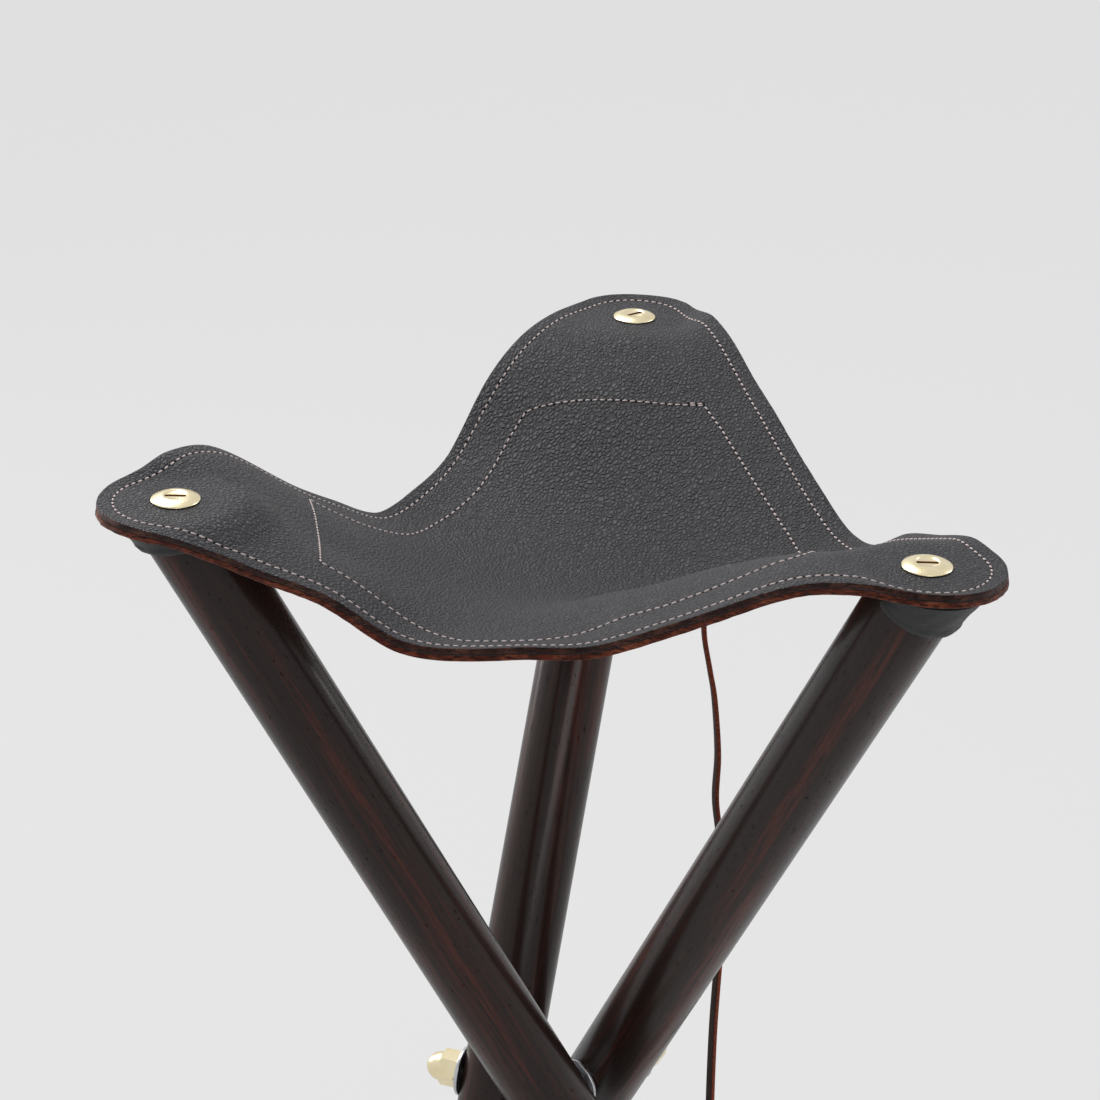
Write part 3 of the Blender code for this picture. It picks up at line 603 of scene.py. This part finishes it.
# %% Small hardware
EDGE_BREAK = 0.00018
CORNER_OVER = 32
STEEL_KINDS = ("three_way_bolt", "inner_washer", "outer_washer", "threaded_insert")
HARDWARE = {"cap_nut": (brass, "brass"), **{kind: (zinc, "steel") for kind in STEEL_KINDS}}
for name, node in sorted(frame["nodes"].items()):
    kind = next((start for start in HARDWARE if name.startswith(start)), None)
    if kind is None:
        continue
    look, slot = HARDWARE[kind]
    bm = bmesh.new()
    bm.from_mesh(node.data)
    bmesh.ops.remove_doubles(bm, verts=bm.verts, dist=1e-5)
    bmesh.ops.dissolve_limit(bm, angle_limit=math.radians(1), verts=bm.verts, edges=bm.edges)
    piece = show(f"{name}_finished", finished(bm, name, (look,), CORNER_OVER))
    round_corners(piece, EDGE_BREAK, 2, CORNER_OVER)
    bodies = frame["record"]["behaviour"]["bodies"]
    body = next(body for body, nodes in bodies.items() if name in nodes)
    fit(piece, body, slot, name)
print("hardware dressed")

# %% [markdown]
# ## Pockets under the tabs
# Under each tab a cup of black leather wraps the outer side of the leg's top and keeps the tab
# from turning. It is a strip bent round the leg, deepest on the outer side, and thickened.

# %% Pockets
POCKET_DEPTHS = {"a": 0.005, "b": 0.011, "c": 0.011}
POCKET_FLAP = 0.004
POCKET_WRAP = math.radians(104)
POCKET_LEATHER = 0.0019
POCKET_EDGE = 0.0006


def pocket_mesh(deep):
    """A strip round a leg's top, in the leg's own space, deepest on the outer side."""
    outward = math.atan2(LEG_TOP.y, HINGE_RADIUS)
    bm = bmesh.new()
    bmesh.ops.create_grid(bm, x_segments=56, y_segments=12, size=0.5)
    for vert in bm.verts:
        side, run = vert.co.x * 2, 0.5 - vert.co.y
        taper = max(math.cos(side * math.pi / 2), 0.0) ** 0.8
        depth = (POCKET_FLAP + deep * taper) * run
        flare = 0.0025 * taper * (1 - run) ** 1.5 + 0.0004 * math.exp(-(((run - 0.93) / 0.06) ** 2))
        bearing = outward + side * POCKET_WRAP
        crumple = 0.0004 * noise.noise(Vector((side * 7, run * 2.5, 3.0))) * min(1, 4 * run)
        reach = LEG_RADIUS + GAP + flare + max(crumple, -0.0001)
        vert.co = LEG_TOP + Vector((
            math.cos(bearing) * reach,
            math.sin(bearing) * reach / math.cos(LEG_LEAN) + depth * math.tan(LEG_LEAN),
            -depth - GAP,
        ))
    bm.normal_update()
    if sum(face.normal.dot(face.calc_center_median() - LEG_TOP) for face in bm.faces) < 0:
        bmesh.ops.reverse_faces(bm, faces=bm.faces)
    mesh = as_mesh(bm, "pocket", (pocket_hide,))
    mesh.shade_smooth()
    return mesh


for tab, deep in POCKET_DEPTHS.items():
    mesh = pocket_mesh(deep)
    mesh.transform(leg_frame(tab))
    piece = show(f"corner_pocket_{tab}_sewn", mesh)
    thicken = piece.modifiers.new("leather", "SOLIDIFY")
    thicken.thickness = POCKET_LEATHER
    thicken.offset = 1.0
    round_corners(piece, POCKET_EDGE, 3, 50)
    fit(piece, f"leg_{tab}", "pocket_leather", f"corner_pocket_{tab}")
print("pockets wrap the legs")

# %% [markdown]
# ## The seat in plan
# Laid flat, the seat is a triangle whose corners are round tabs about the screws. The edge is
# walked in even steps, and every step knows the way inward, so that seams keep their distance.

# %% Seat in plan
TAB_REACH = 0.027
SIDE_REACH = 0.100
SCREWS = np.array([(SCREW_RADIUS * math.cos(t), SCREW_RADIUS * math.sin(t)) for t in TABS.values()])
AROUND = 144
FINE_STEPS = 400


def tab_outline(steps):
    """One sector's edge: the tab's round end, and half of each straight side."""
    turn = np.linspace(0, math.pi / 3, steps)
    tip = np.stack([SCREW_RADIUS + TAB_REACH * np.cos(turn), TAB_REACH * np.sin(turn)], 1)
    middle = np.array([math.cos(math.pi / 3), math.sin(math.pi / 3)]) * SIDE_REACH
    t = np.linspace(0, 1, steps)[1:, None]
    half = np.concatenate([tip, tip[-1] * (1 - t) + middle * t])
    return np.concatenate([half[:0:-1] * (1, -1), half])


def evenly(line, count):
    """The same line as count equal steps."""
    run = np.concatenate([[0], np.cumsum(np.linalg.norm(np.diff(line, axis=0), axis=1))])
    spots = np.linspace(0, run[-1], count + 1)
    return np.stack([np.interp(spots, run, line[:, k]) for k in range(line.shape[1])], 1)


def turned(line, angle):
    c, s = math.cos(angle), math.sin(angle)
    return line @ np.array([[c, s], [-s, c]])


sector_line = evenly(tab_outline(FINE_STEPS), AROUND)
outline = np.concatenate([turned(sector_line, TABS[tab])[:-1] for tab in ("c", "b", "a")])
inward = np.roll(outline, -1, 0) - np.roll(outline, 1, 0)
inward = np.stack([-inward[:, 1], inward[:, 0]], 1)
inward /= np.linalg.norm(inward, axis=1)[:, None]
edge_length = float(np.linalg.norm(np.diff(sector_line, axis=0), axis=1).sum() * 3)
print("edge length", round(edge_length, 3), "m")

# %% [markdown]
# ## The seat in height
# A sling takes a smooth shape between the things that hold it. Its heights are known at marks:
# round each side, along each tab, at the middle, and on the nearly level band along its front.
# A thin-plate surface is the smoothest sheet through such marks, and on a leg's top it lies flat.

# %% Seat in height
SIDE_BEARINGS = (0, 6, 12, 18, 26, 35, 47, 60, 73, 85, 94, 102, 108, 114)
SIDE_HEIGHTS = {
    "a": (0.5, 0.5, -4.0, -11, -18.5, -31, -33, -30, -27, -17, -7, 2.5, 4, 3),
    "b": (2.0, 2.5, 1, -3, -17, -40, -50, -53, -41, -27, -12, 2, 4, 1),
    "c": (1.5, 1.5, 0, -8, -17, -30, -33, -27, -20, -12, -6, 2, 5, 4),
}
TAB_STATIONS = (0, 10, 20, 32, 52, 75, 110)
TAB_HEIGHTS = {
    "a": (0, 0, -1, -8, -24, -38, -51),
    "b": (0, 0, -1, -5, -16, -33, -51),
    "c": (0, 0, -1, -5, -17, -32, -49),
}
MIDDLE_HEIGHT = -56
FRONT_BAND = (
    (-75, -78.4, -17), (-63, -78.4, -24), (-47, -78.4, -34.7), (-35, -78.4, -38.5),
    (2, -78.4, -37.0), (16, -78.4, -33.3), (30, -78.4, -25.9), (43, -78.4, -20.6),
    (55, -78.4, -14.6), (70, -78.4, -6.5), (84, -78.4, 0.5),
    (1, -42, -42), (20, -42, -35), (40, -43, -29), (58, -46, -21), (77, -53, -12),
)
FLAT_RADIUS = 0.0175
FLAT_BLEND = 0.0150


def edge_reach(bearing):
    """The edge's distance from the middle at a bearing from the nearest tab."""
    line = tab_outline(FINE_STEPS)
    return np.interp(bearing, np.arctan2(line[:, 1], line[:, 0]), np.hypot(line[:, 0], line[:, 1]))


def height_marks():
    """The marks (x, y, height): plan in decimetres, so that the sums stay even, and metres up."""
    marks = [(0.0, 0.0, MIDDLE_HEIGHT)] + [(x / 1000, y / 1000, height) for x, y, height in FRONT_BAND]
    for tab, bearing in TABS.items():
        for turn, height in zip(SIDE_BEARINGS, SIDE_HEIGHTS[tab]):
            reach = edge_reach(math.radians(min(turn, 120 - turn)))
            angle = bearing + math.radians(turn)
            marks.append((reach * math.cos(angle), reach * math.sin(angle), height))
        for station, height in zip(TAB_STATIONS, TAB_HEIGHTS[tab]):
            reach = SCREW_RADIUS - station / 1000
            marks.append((reach * math.cos(bearing), reach * math.sin(bearing), height))
    return np.array(marks) * (10, 10, 0.001)


def thin_plate(gap):
    """The bend that one mark gives the sheet at a gap from it."""
    return gap**2 * np.log(np.maximum(gap, 1e-9))


MARKS = height_marks()
mark_gaps = np.linalg.norm(MARKS[:, None, :2] - MARKS[None, :, :2], axis=-1)
level = np.c_[np.ones(len(MARKS)), MARKS[:, :2]]
SLACK = 1e-4
bends = thin_plate(mark_gaps) + SLACK * np.eye(len(MARKS))
whole = np.block([[bends, level], [level.T, np.zeros((3, 3))]])
PULLS = np.linalg.solve(whole, np.r_[MARKS[:, 2], 0, 0, 0])
print("marks", len(MARKS))


# %% Points on the sling
def seat_height(x, y):
    """Height of the sling over the leg tops: smooth through the marks, and level on each leg top."""
    x, y = np.asarray(x, float), np.asarray(y, float)
    spots = np.stack([x.ravel(), y.ravel()], 1) * 10
    gaps = np.linalg.norm(spots[:, None] - MARKS[None, :, :2], axis=-1)
    heights = thin_plate(gaps) @ PULLS[:-3] + PULLS[-3] + spots @ PULLS[-2:]
    near = np.min(np.linalg.norm(spots[:, None] / 10 - SCREWS[None], axis=-1), axis=1)
    free = np.clip((near - FLAT_RADIUS) / FLAT_BLEND, 0, 1)
    return (heights * free * free * (3 - 2 * free)).reshape(x.shape)


def seat_normal(plan):
    """The sling's upward normals at points in plan."""
    x, y = plan[..., 0], plan[..., 1]
    step = 1e-4
    here = seat_height(x, y)
    fall_x = (here - seat_height(x + step, y)) / step
    fall_y = (here - seat_height(x, y + step)) / step
    normal = np.stack([fall_x, fall_y, np.ones_like(here)], -1)
    return normal / np.linalg.norm(normal, axis=-1)[..., None]


def seat_place(plan, height):
    """Points that stand a height over the sling's underside, along its normal, at points in plan."""
    here = seat_height(plan[..., 0], plan[..., 1])
    base = np.stack([plan[..., 0] + AXIS.x, plan[..., 1] + AXIS.y, LINING_LEVEL + here], -1)
    return base + seat_normal(plan) * np.asarray(height)[..., None]


print("lowest leather", round(float(LINING_LEVEL + seat_height(0.0, 0.0) + SEAT_THICKNESS), 4))

# %% [markdown]
# ## Two sheets of leather
# Each sheet is one grid, rolled up. Across the grid is the way round the edge. Along it the sheet
# runs from its middle over the top, dips where the outer seam pulls it down, turns round the cut
# edge, and goes back underneath. Rolling one grid keeps the faces even and the sheet closed.

# %% Rolled sheet
RIM = 0.011
SEAM_INSET = 0.0056
INNER_STEPS = 46
RAGGED_BAND = 0.0015
TORN_IN, TORN_OUT = 0.0006, -0.0012


def sheet_rows(low, high, soft):
    """Rows of (share of the way out, inset from the edge, height), over the top and back under."""
    over = [(k / INNER_STEPS, RIM, high) for k in range(INNER_STEPS + 1)]
    dips = ((0.0090, 0), (0.0075, 0), (0.0066, 0.05), (0.0060, 0.16), (SEAM_INSET, 0.22), (0.0052, 0.16),
            (0.0046, 0.05), (0.0036, 0), (0.0026, 0), (0.0016, 0))
    over += [(1, inset, high - dip * 0.001) for inset, dip in dips]
    for k in range(5):
        turn = k / 4 * math.pi / 2
        over.append((1, soft * (1 - math.sin(turn)), high - soft * (1 - math.cos(turn))))
    wall = [(1, 0, high - soft - (high - low - 2 * soft) * k / 4) for k in range(1, 4)]
    under = [(share, inset, low + high - height) for share, inset, height in reversed(over)]
    under = [(share, inset, min(height, low + max(soft - inset, 0))) for share, inset, height in under]
    return over, wall, under


def grid_spot(vert, around, rows):
    """A vertex's column and row in a flat unit grid whose ends are to meet."""
    return round((vert.co.x + 0.5) * around) % around, round((vert.co.y + 0.5) * rows)


def rolled_sheet(name, low, high, soft, looks, ragged):
    """The sheet's mesh. Its UV map is its flat plan; ragged is how far its cut edge wanders."""
    over, wall, under = sheet_rows(low, high, soft)
    rows = over + wall + under
    around = len(outline)
    wander = np.array([
        noise.noise(Vector((*(spot * 260), 1.0))) + 0.6 * noise.noise(Vector((*(spot * 900), 5.0)))
        for spot in outline
    ])
    plan, heights = [], []
    for share, inset, height in rows:
        torn = np.clip(wander * ragged * max(0.0, 1 - inset / RAGGED_BAND), TORN_OUT, TORN_IN)
        plan.append((outline + inward * (inset + torn)[:, None]) * share)
        heights.append(np.full(around, height))
    places = seat_place(np.array(plan), np.array(heights))
    bm = bmesh.new()
    bmesh.ops.create_grid(bm, x_segments=around, y_segments=len(rows) - 1, size=0.5)
    flat = bm.loops.layers.uv.new("plan")
    row_of = bm.verts.layers.int.new("row")
    last = len(rows) - 1
    skin_rows = len(over) - 2.5
    for face in bm.faces:
        row = (face.calc_center_median().y + 0.5) * last
        face.material_index = 0 if row < skin_rows else 1
        face.smooth = True
        for loop in face.loops:
            i, j = grid_spot(loop.vert, around, last)
            loop[flat].uv = plan[j][i]
    for vert in bm.verts:
        i, j = grid_spot(vert, around, last)
        vert.co = places[j, i]
        vert[row_of] = j
    bmesh.ops.remove_doubles(bm, verts=bm.verts, dist=1e-6)
    bmesh.ops.recalc_face_normals(bm, faces=bm.faces)
    return as_mesh(bm, name, looks)


LINING = (0.0, 0.0020)
LEATHER = (0.0023, SEAT_THICKNESS)
leather_mesh = rolled_sheet("seat_leather", *LEATHER, 0.0005, (grained, cut_edge), 0.00010)
lining_mesh = rolled_sheet("seat_lining", *LINING, 0.0004, (suede, suede), 0.00045)
print("leather faces", len(leather_mesh.polygons), "lining faces", len(lining_mesh.polygons))

# %% [markdown]
# ## Sectors
# On the real stool each tab goes with its own leg as it folds. So each sheet is parted into three
# sectors that meet in the middle. They keep the whole sheet's normals, so no line shows between
# them, and each is closed along its two cuts.


def bearing_from(tab, spot):
    """A spot's bearing from a tab's middle line, from minus to plus half a turn."""
    return (math.atan2(spot.y - AXIS.y, spot.x - AXIS.x) - TABS[tab] + math.pi) % math.tau - math.pi


def middle_of(edge):
    return (edge.verts[0].co + edge.verts[1].co) / 2


def sector_piece(mesh, tab, name):
    """A tab's third of a sheet, with the whole sheet's normals and a wall along each cut."""
    bm = bmesh.new()
    bm.from_mesh(mesh)
    bm.normal_update()
    kept = bm.loops.layers.float_vector.new("whole_normal")
    for face in bm.faces:
        for loop in face.loops:
            loop[kept] = loop.vert.normal
    spare = [face for face in bm.faces if abs(bearing_from(tab, face.calc_center_median())) > math.pi / 3]
    bmesh.ops.delete(bm, geom=spare, context="FACES")
    row_of = bm.verts.layers.int["row"]
    half = max(vert[row_of] for vert in bm.verts) / 2
    rim = [edge for edge in bm.edges if edge.is_boundary]
    for side in (-1, 1):
        cut = [edge for edge in rim if bearing_from(tab, middle_of(edge)) * side > 0]
        over = [edge for edge in cut if max(vert[row_of] for vert in edge.verts) < half]
        under = [edge for edge in cut if min(vert[row_of] for vert in edge.verts) > half]
        bmesh.ops.bridge_loops(bm, edges=over + under)
    bmesh.ops.holes_fill(bm, edges=[edge for edge in bm.edges if edge.is_boundary])
    bmesh.ops.recalc_face_normals(bm, faces=bm.faces)
    made = as_mesh(bm, name)
    for look in mesh.materials:
        made.materials.append(look)
    normals = np.empty(len(made.loops) * 3, np.float32)
    made.attributes["whole_normal"].data.foreach_get("vector", normals)
    made.attributes.remove(made.attributes["whole_normal"])
    made.normals_split_custom_set(normals.reshape(-1, 3))
    return show(name, made)


def hang(piece):
    """The piece's place is baked into its mesh."""
    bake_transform(piece)


sectors = {}
for tab in TABS:
    top = sector_piece(leather_mesh, tab, f"seat_leather_{tab}")
    under = sector_piece(lining_mesh, tab, f"seat_lining_{tab}")
    for piece, node, slot in ((top, "seat_leather", "seat_leather"), (under, "seat_lining", "suede")):
        hang(piece)
        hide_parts(node)
    sectors[tab] = (top, under)
print("seat sectors", {tab: len(top.data.polygons) for tab, (top, _) in sectors.items()})

# %% [markdown]
# ## Stitches
# The outer seam keeps 5.6 mm from the edge all round. A second seam, farther in, holds the pockets'
# flaps under the seat: it crosses each tab and follows the sides. A stitch is a small ball drawn
# out long, three millimetres from the next, with a needle hole between, drawn as a flat near-black
# ball of painted shade. The same seams show below.

# %% Seam routes
def smooth_line(points, spacing=0.0005):
    """A rounded run past points in plan, given in millimetres."""
    points = np.array(points, float) / 1000
    line = evenly(points, max(int(np.linalg.norm(np.diff(points, axis=0), axis=1).sum() / spacing), 2))
    for _ in range(6):
        line[1:-1] = (line[:-2] + 2 * line[1:-1] + line[2:]) / 4
    return line


outer_seam = np.concatenate([outline + inward * SEAM_INSET, (outline + inward * SEAM_INSET)[:1]])
INNER_ROUTES = {
    "across_b": ((-34, 96.1), (-30.2, 96.9), (-22.2, 97.4), (-12.2, 97.2), (-2.2, 96.3), (9.8, 95.4),
                 (21.7, 94.3), (35.9, 93.7)),
    "right": ((35.9, 93.7), (44.6, 82.5), (56, 65.1), (67.2, 47.4), (76, 32.4), (84.6, 14), (98, -13)),
    "across_c": ((98, -13), (88.7, -73)),
    "front": ((88.7, -73), (84.8, -77.8), (69.8, -78.4), (55.2, -78.5), (42.6, -78.3), (30.3, -78.5),
              (16.1, -78.8), (2.5, -81), (-12, -83.5), (-25.5, -85), (-34.8, -82), (-41.2, -80.2),
              (-47.1, -78.7), (-55.4, -78.3), (-63.5, -78.4), (-77.5, -78.9)),
    "across_a": ((-77.5, -78.9), (-85, -53.5), (-93, -27), (-101, -3)),
    "left": ((-101, -3), (-86, 12), (-70, 32.1), (-61.7, 49.2), (-53.9, 60.5), (-47.6, 69.6),
             (-43.1, 78.1), (-39.4, 86.9), (-34, 96.1)),
    "sewn_back": ((29.5, 94.9), (35.6, 94.5)),
}
inner_seams = [smooth_line(route) for route in INNER_ROUTES.values()]
print("inner seams", len(inner_seams))

# %% Stitches and needle holes of painted shade
STITCH_PITCH = 0.0030
STITCH_SLANT = math.radians(7)
OUTER_SEAM_DIP = 0.00020
SEWN_SIZES = ((0.00110, 0.00039, 0.00032), (0.00044, 0.00056, 0.00009))
SEWN_LIFTS = (0.00004, 0.00003)
BALLS_AT_ONCE = 16


def stitch_places(line, height):
    """Even places along a seam at a height: spots, ways and normals, of stitches and of holes."""
    fine = evenly(line, max(int(len(line) * 2), 4))
    track = seat_place(fine, np.full(len(fine), height))
    run = np.concatenate([[0], np.cumsum(np.linalg.norm(np.diff(track, axis=0), axis=1))])
    count = max(round(run[-1] / STITCH_PITCH), 1)
    normals = seat_normal(fine)
    found = []
    for spots in ((np.arange(count) + 0.5) * run[-1] / count, np.arange(count + 1) * run[-1] / count):
        here, lift, after, before = (
            np.stack([np.interp(spots + shift, run, values[:, k]) for k in range(3)], 1)
            for values, shift in ((track, 0), (normals, 0), (track, 0.0004), (track, -0.0004))
        )
        found.append((here, after - before, lift))
    return found


def standing(spot, way, lift, size, slant):
    """A matrix that lays a unit ball along a seam, drawn out to a size and turned by a slant."""
    z = Vector(lift).normalized()
    x = Vector(way)
    x = (x - z * x.dot(z)).normalized()
    turn = Matrix((x, z.cross(x), z)).transposed().to_4x4() @ Matrix.Rotation(slant, 4, "Z")
    return Matrix.Translation(spot) @ turn @ Matrix.Diagonal((*size, 1))


def balls(matrices):
    """Unit balls laid by matrices, a few at a time, since a small bmesh is quick to add to."""
    whole = bmesh.new()
    for start in range(0, len(matrices), BALLS_AT_ONCE):
        few = bmesh.new()
        for matrix in matrices[start : start + BALLS_AT_ONCE]:
            bmesh.ops.create_uvsphere(few, u_segments=6, v_segments=5, radius=1.0, matrix=matrix)
        part = as_mesh(few, "few")
        whole.from_mesh(part)
        bpy.data.meshes.remove(part)
    return whole


def sew(side, height):
    """Where stitches and holes lie in each sector, on one side of the seat."""
    sewn = {tab: ([], []) for tab in TABS}
    for line, dip in [(outer_seam, OUTER_SEAM_DIP)] + [(seam, 0.0) for seam in inner_seams]:
        for kind, found in enumerate(stitch_places(line, height - side * dip)):
            for spot, way, lift in zip(*found):
                tab = min(TABS, key=lambda t: abs(bearing_from(t, Vector(spot))))
                raised = spot + lift * side * SEWN_LIFTS[kind]
                sewn[tab][kind].append(standing(raised, way, lift, SEWN_SIZES[kind], STITCH_SLANT))
    return sewn


total = 0
for label, side, height in (("top", 1, LEATHER[1]), ("below", -1, LINING[0])):
    for tab, both in sew(side, height).items():
        total += len(both[0])
        # The needle holes are near-black balls: painted shade.
        for kind, places, look in (("stitches", both[0], thread), ("needle_hole_shades", both[1], needle_hole_shade)):
            piece = show(f"{kind}_{label}_{tab}", finished(balls(places), kind, (look,), 180))
            hang(piece)
            sectors[tab] += (piece,)
print("stitches", total)

# %% [markdown]
# Each sector keeps its leather and lining with the stitches and needle holes through them.

# %% Sheets counted
print("sheets declared", 2 * len(sectors))

# %% [markdown]
# ## Tie lace
# A flat thong is sewn under the seat and hangs free; it ties the folded legs together. It follows
# one smooth line and twists as it hangs, so that its dark grain side turns to its red-brown flesh
# side. It is a grid rolled into a flat tube: each row is a section, turned a little past the last.

# %% Lace route
LACE_WIDTH = 0.0042
LACE_THICKNESS = 0.0019
LACE_TOP = (0.0458, 0.0260)
LACE_ROUTE = (
    (0, 0, 0), (0, 0, -0.012), (0.0003, 0, -0.027), (0.0031, 0.0004, -0.042),
    (0.0055, 0.0009, -0.055), (0.0078, 0.0012, -0.078), (0.0079, 0.0012, -0.098),
    (0.0106, 0.0016, -0.119), (0.0126, 0.0022, -0.155), (0.0120, 0.0016, -0.205),
    (0.0130, -0.0004, -0.255), (0.0148, -0.0012, -0.305), (0.0144, 0.0004, -0.350),
    (0.0128, 0.0016, -0.390),
)


def smooth_route(points, per_leg):
    """Points on a smooth curve through the route's own points."""
    route = [Vector(p) for p in points]
    padded = [2 * route[0] - route[1], *route, 2 * route[-1] - route[-2]]
    dense = []
    for a, b, c, d in zip(padded, padded[1:], padded[2:], padded[3:]):
        for step in range(per_leg):
            t = step / per_leg
            bend = 2 * b + (c - a) * t + (2 * a - 5 * b + 4 * c - d) * t**2 + (3 * b - a - 3 * c + d) * t**3
            dense.append(bend / 2)
    return dense + [route[-1]]


lace_start = Vector(seat_place(np.array(LACE_TOP), 0.0)) - Vector((0, 0, GAP + 0.0005))
lace_path = [lace_start + point for point in smooth_route(LACE_ROUTE, 10)]
lace_length = sum((b - a).length for a, b in zip(lace_path, lace_path[1:]))
print("lace", round(lace_length, 4), "m long from", [round(v, 4) for v in lace_start])

# %% Lace
LACE_TURNS = ((0, 99), (0.25, 108), (0.55, 126), (1, 150))
lace_look = Look("lace_leather", Specular_IOR_Level=0.3)
flesh_share = lace_look.node("ShaderNodeAttribute", {"attribute_name": "flesh"}, out="Fac")
lace_nap = speckle(lace_look, place(lace_look), 1200.0, 4.0, 0.6)
lace_patches = speckle(lace_look, place(lace_look), 160.0, 3.0)
grain_side = colours(lace_look, lace_patches, paint(40, 30, 28), paint(66, 50, 45))
flesh_tufts = spread(lace_look, lace_nap, 0.35, 0.65)
flesh_side = colours(lace_look, flesh_tufts, paint(92, 38, 24), paint(150, 72, 44))
lace_look.set(
    Base_Color=colours(lace_look, flesh_share, grain_side, flesh_side),
    Roughness=0.62 + lace_nap * 0.2,
    Normal=bump(lace_look, lace_nap, 0.00015),
)


def lace_strip(around=20):
    """The lace's mesh: sections along its path, each a rounded oblong turned a little farther."""
    bm = bmesh.new()
    rows = len(lace_path) - 1
    bmesh.ops.create_grid(bm, x_segments=around, y_segments=rows, size=0.5)
    flesh = bm.verts.layers.float.new("flesh")
    for vert in bm.verts:
        i, j = grid_spot(vert, around, rows)
        c, s = math.cos(math.tau * i / around), math.sin(math.tau * i / around)
        across = math.copysign(abs(c) ** 0.5, c) * LACE_WIDTH / 2
        through = math.copysign(abs(s) ** 0.5, s) * LACE_THICKNESS / 2
        tangent = (lace_path[min(j + 1, rows)] - lace_path[max(j - 1, 0)]).normalized()
        turn = math.radians(np.interp(j / rows, *zip(*LACE_TURNS)))
        wide = Vector((math.cos(turn), math.sin(turn), 0))
        wide = (wide - tangent * wide.dot(tangent)).normalized()
        vert.co = lace_path[j] + wide * across + tangent.cross(wide) * through
        vert[flesh] = 1.0 if s > c else 0.0
    bmesh.ops.remove_doubles(bm, verts=bm.verts, dist=1e-6)
    bmesh.ops.holes_fill(bm, edges=[edge for edge in bm.edges if edge.is_boundary])
    return finished(bm, "tie_lace", (lace_look,), 60)


lace = show("tie_lace_hanging", lace_strip())
fit(lace, "seat_and_bolt", "suede", "tie_lace")
print("lace faces", len(lace.data.polygons))

# %% [markdown]
# ## Studio
# The background is one even pale grey, as on a product page. The floor shows that grey itself to
# the camera and to shiny surfaces, mixed with a part of its real shading, so the stool still casts
# a shadow. The light on the stool is soft: a box high behind on the left, a tall one behind to each
# side for the bright lines down the legs, and a weak fill from the front.

# %% Floor
def plain_to_eye(look):
    """One for rays from the camera, and for those mirrored or let through, and nought for the rest."""
    kinds = ("Camera", "Glossy", "Transmission")
    seen, mirrored, through = (look.node("ShaderNodeLightPath", out=f"Is {kind} Ray") for kind in kinds)
    return seen + mirrored + through


BACKGROUND = paint(229, 229, 229)
FLOOR_EVENNESS = 0.93
FLOOR_SIZE = 12
SKY_SEEN, SKY_LIGHT = 1.0, 0.35
FLOOR_GREY = paint(226, 226, 226)
floor_look = Look("studio_floor", Roughness=1.0, Specular_IOR_Level=0.0, Base_Color=FLOOR_GREY)
plain = floor_look.node("ShaderNodeEmission", {}, {"Color": BACKGROUND, "Strength": 1.0})
mixed = floor_look.node(
    "ShaderNodeMixShader",
    {},
    {0: plain_to_eye(floor_look) * FLOOR_EVENNESS, 1: Wire(floor_look, floor_look.shader.outputs[0]), 2: plain},
)
floor_look.feed(floor_look.tree.nodes["Material Output"].inputs["Surface"], mixed)
bm = bmesh.new()
bmesh.ops.create_grid(bm, x_segments=1, y_segments=1, size=FLOOR_SIZE)
floor = show("studio_floor", finished(bm, "studio_floor", (floor_look,)))
print("floor laid")


# %% Lights
def softbox(name, spot, aim, size, power):
    light = bpy.data.lights.new(name, "AREA")
    light.shape = "RECTANGLE"
    light.size, light.size_y = size
    light.energy = power
    lamp = bpy.data.objects.new(name, light)
    bpy.context.collection.objects.link(lamp)
    lamp.location = spot
    lamp.rotation_euler = (Vector(aim) - Vector(spot)).to_track_quat("-Z", "Y").to_euler()


softbox("key", (-0.7, 0.6, 1.7), (0, 0, 0.5), (0.6, 0.6), 19)
softbox("left_strip", (-1.4, 0.7, 0.85), (0, 0, 0.4), (0.4, 1.3), 11)
softbox("rim", (1.5, 0.9, 1.2), (0, 0, 0.4), (0.3, 1.5), 8)
softbox("fill", (0.7, -1.7, 1.5), (0, 0, 0.4), (0.8, 0.8), 6)
world = bpy.data.worlds.new("studio")
world.use_nodes = True
sky = world.node_tree.nodes["Background"]
sky.inputs["Color"].default_value = BACKGROUND
sky_nodes = Nodes(world.node_tree)
sky_strength = plain_to_eye(sky_nodes) * (SKY_SEEN - SKY_LIGHT) + SKY_LIGHT
sky_nodes.feed(sky.inputs["Strength"], sky_strength)
bpy.context.scene.world = world
bpy.context.scene.view_settings.view_transform = "Standard"
print("lights on")
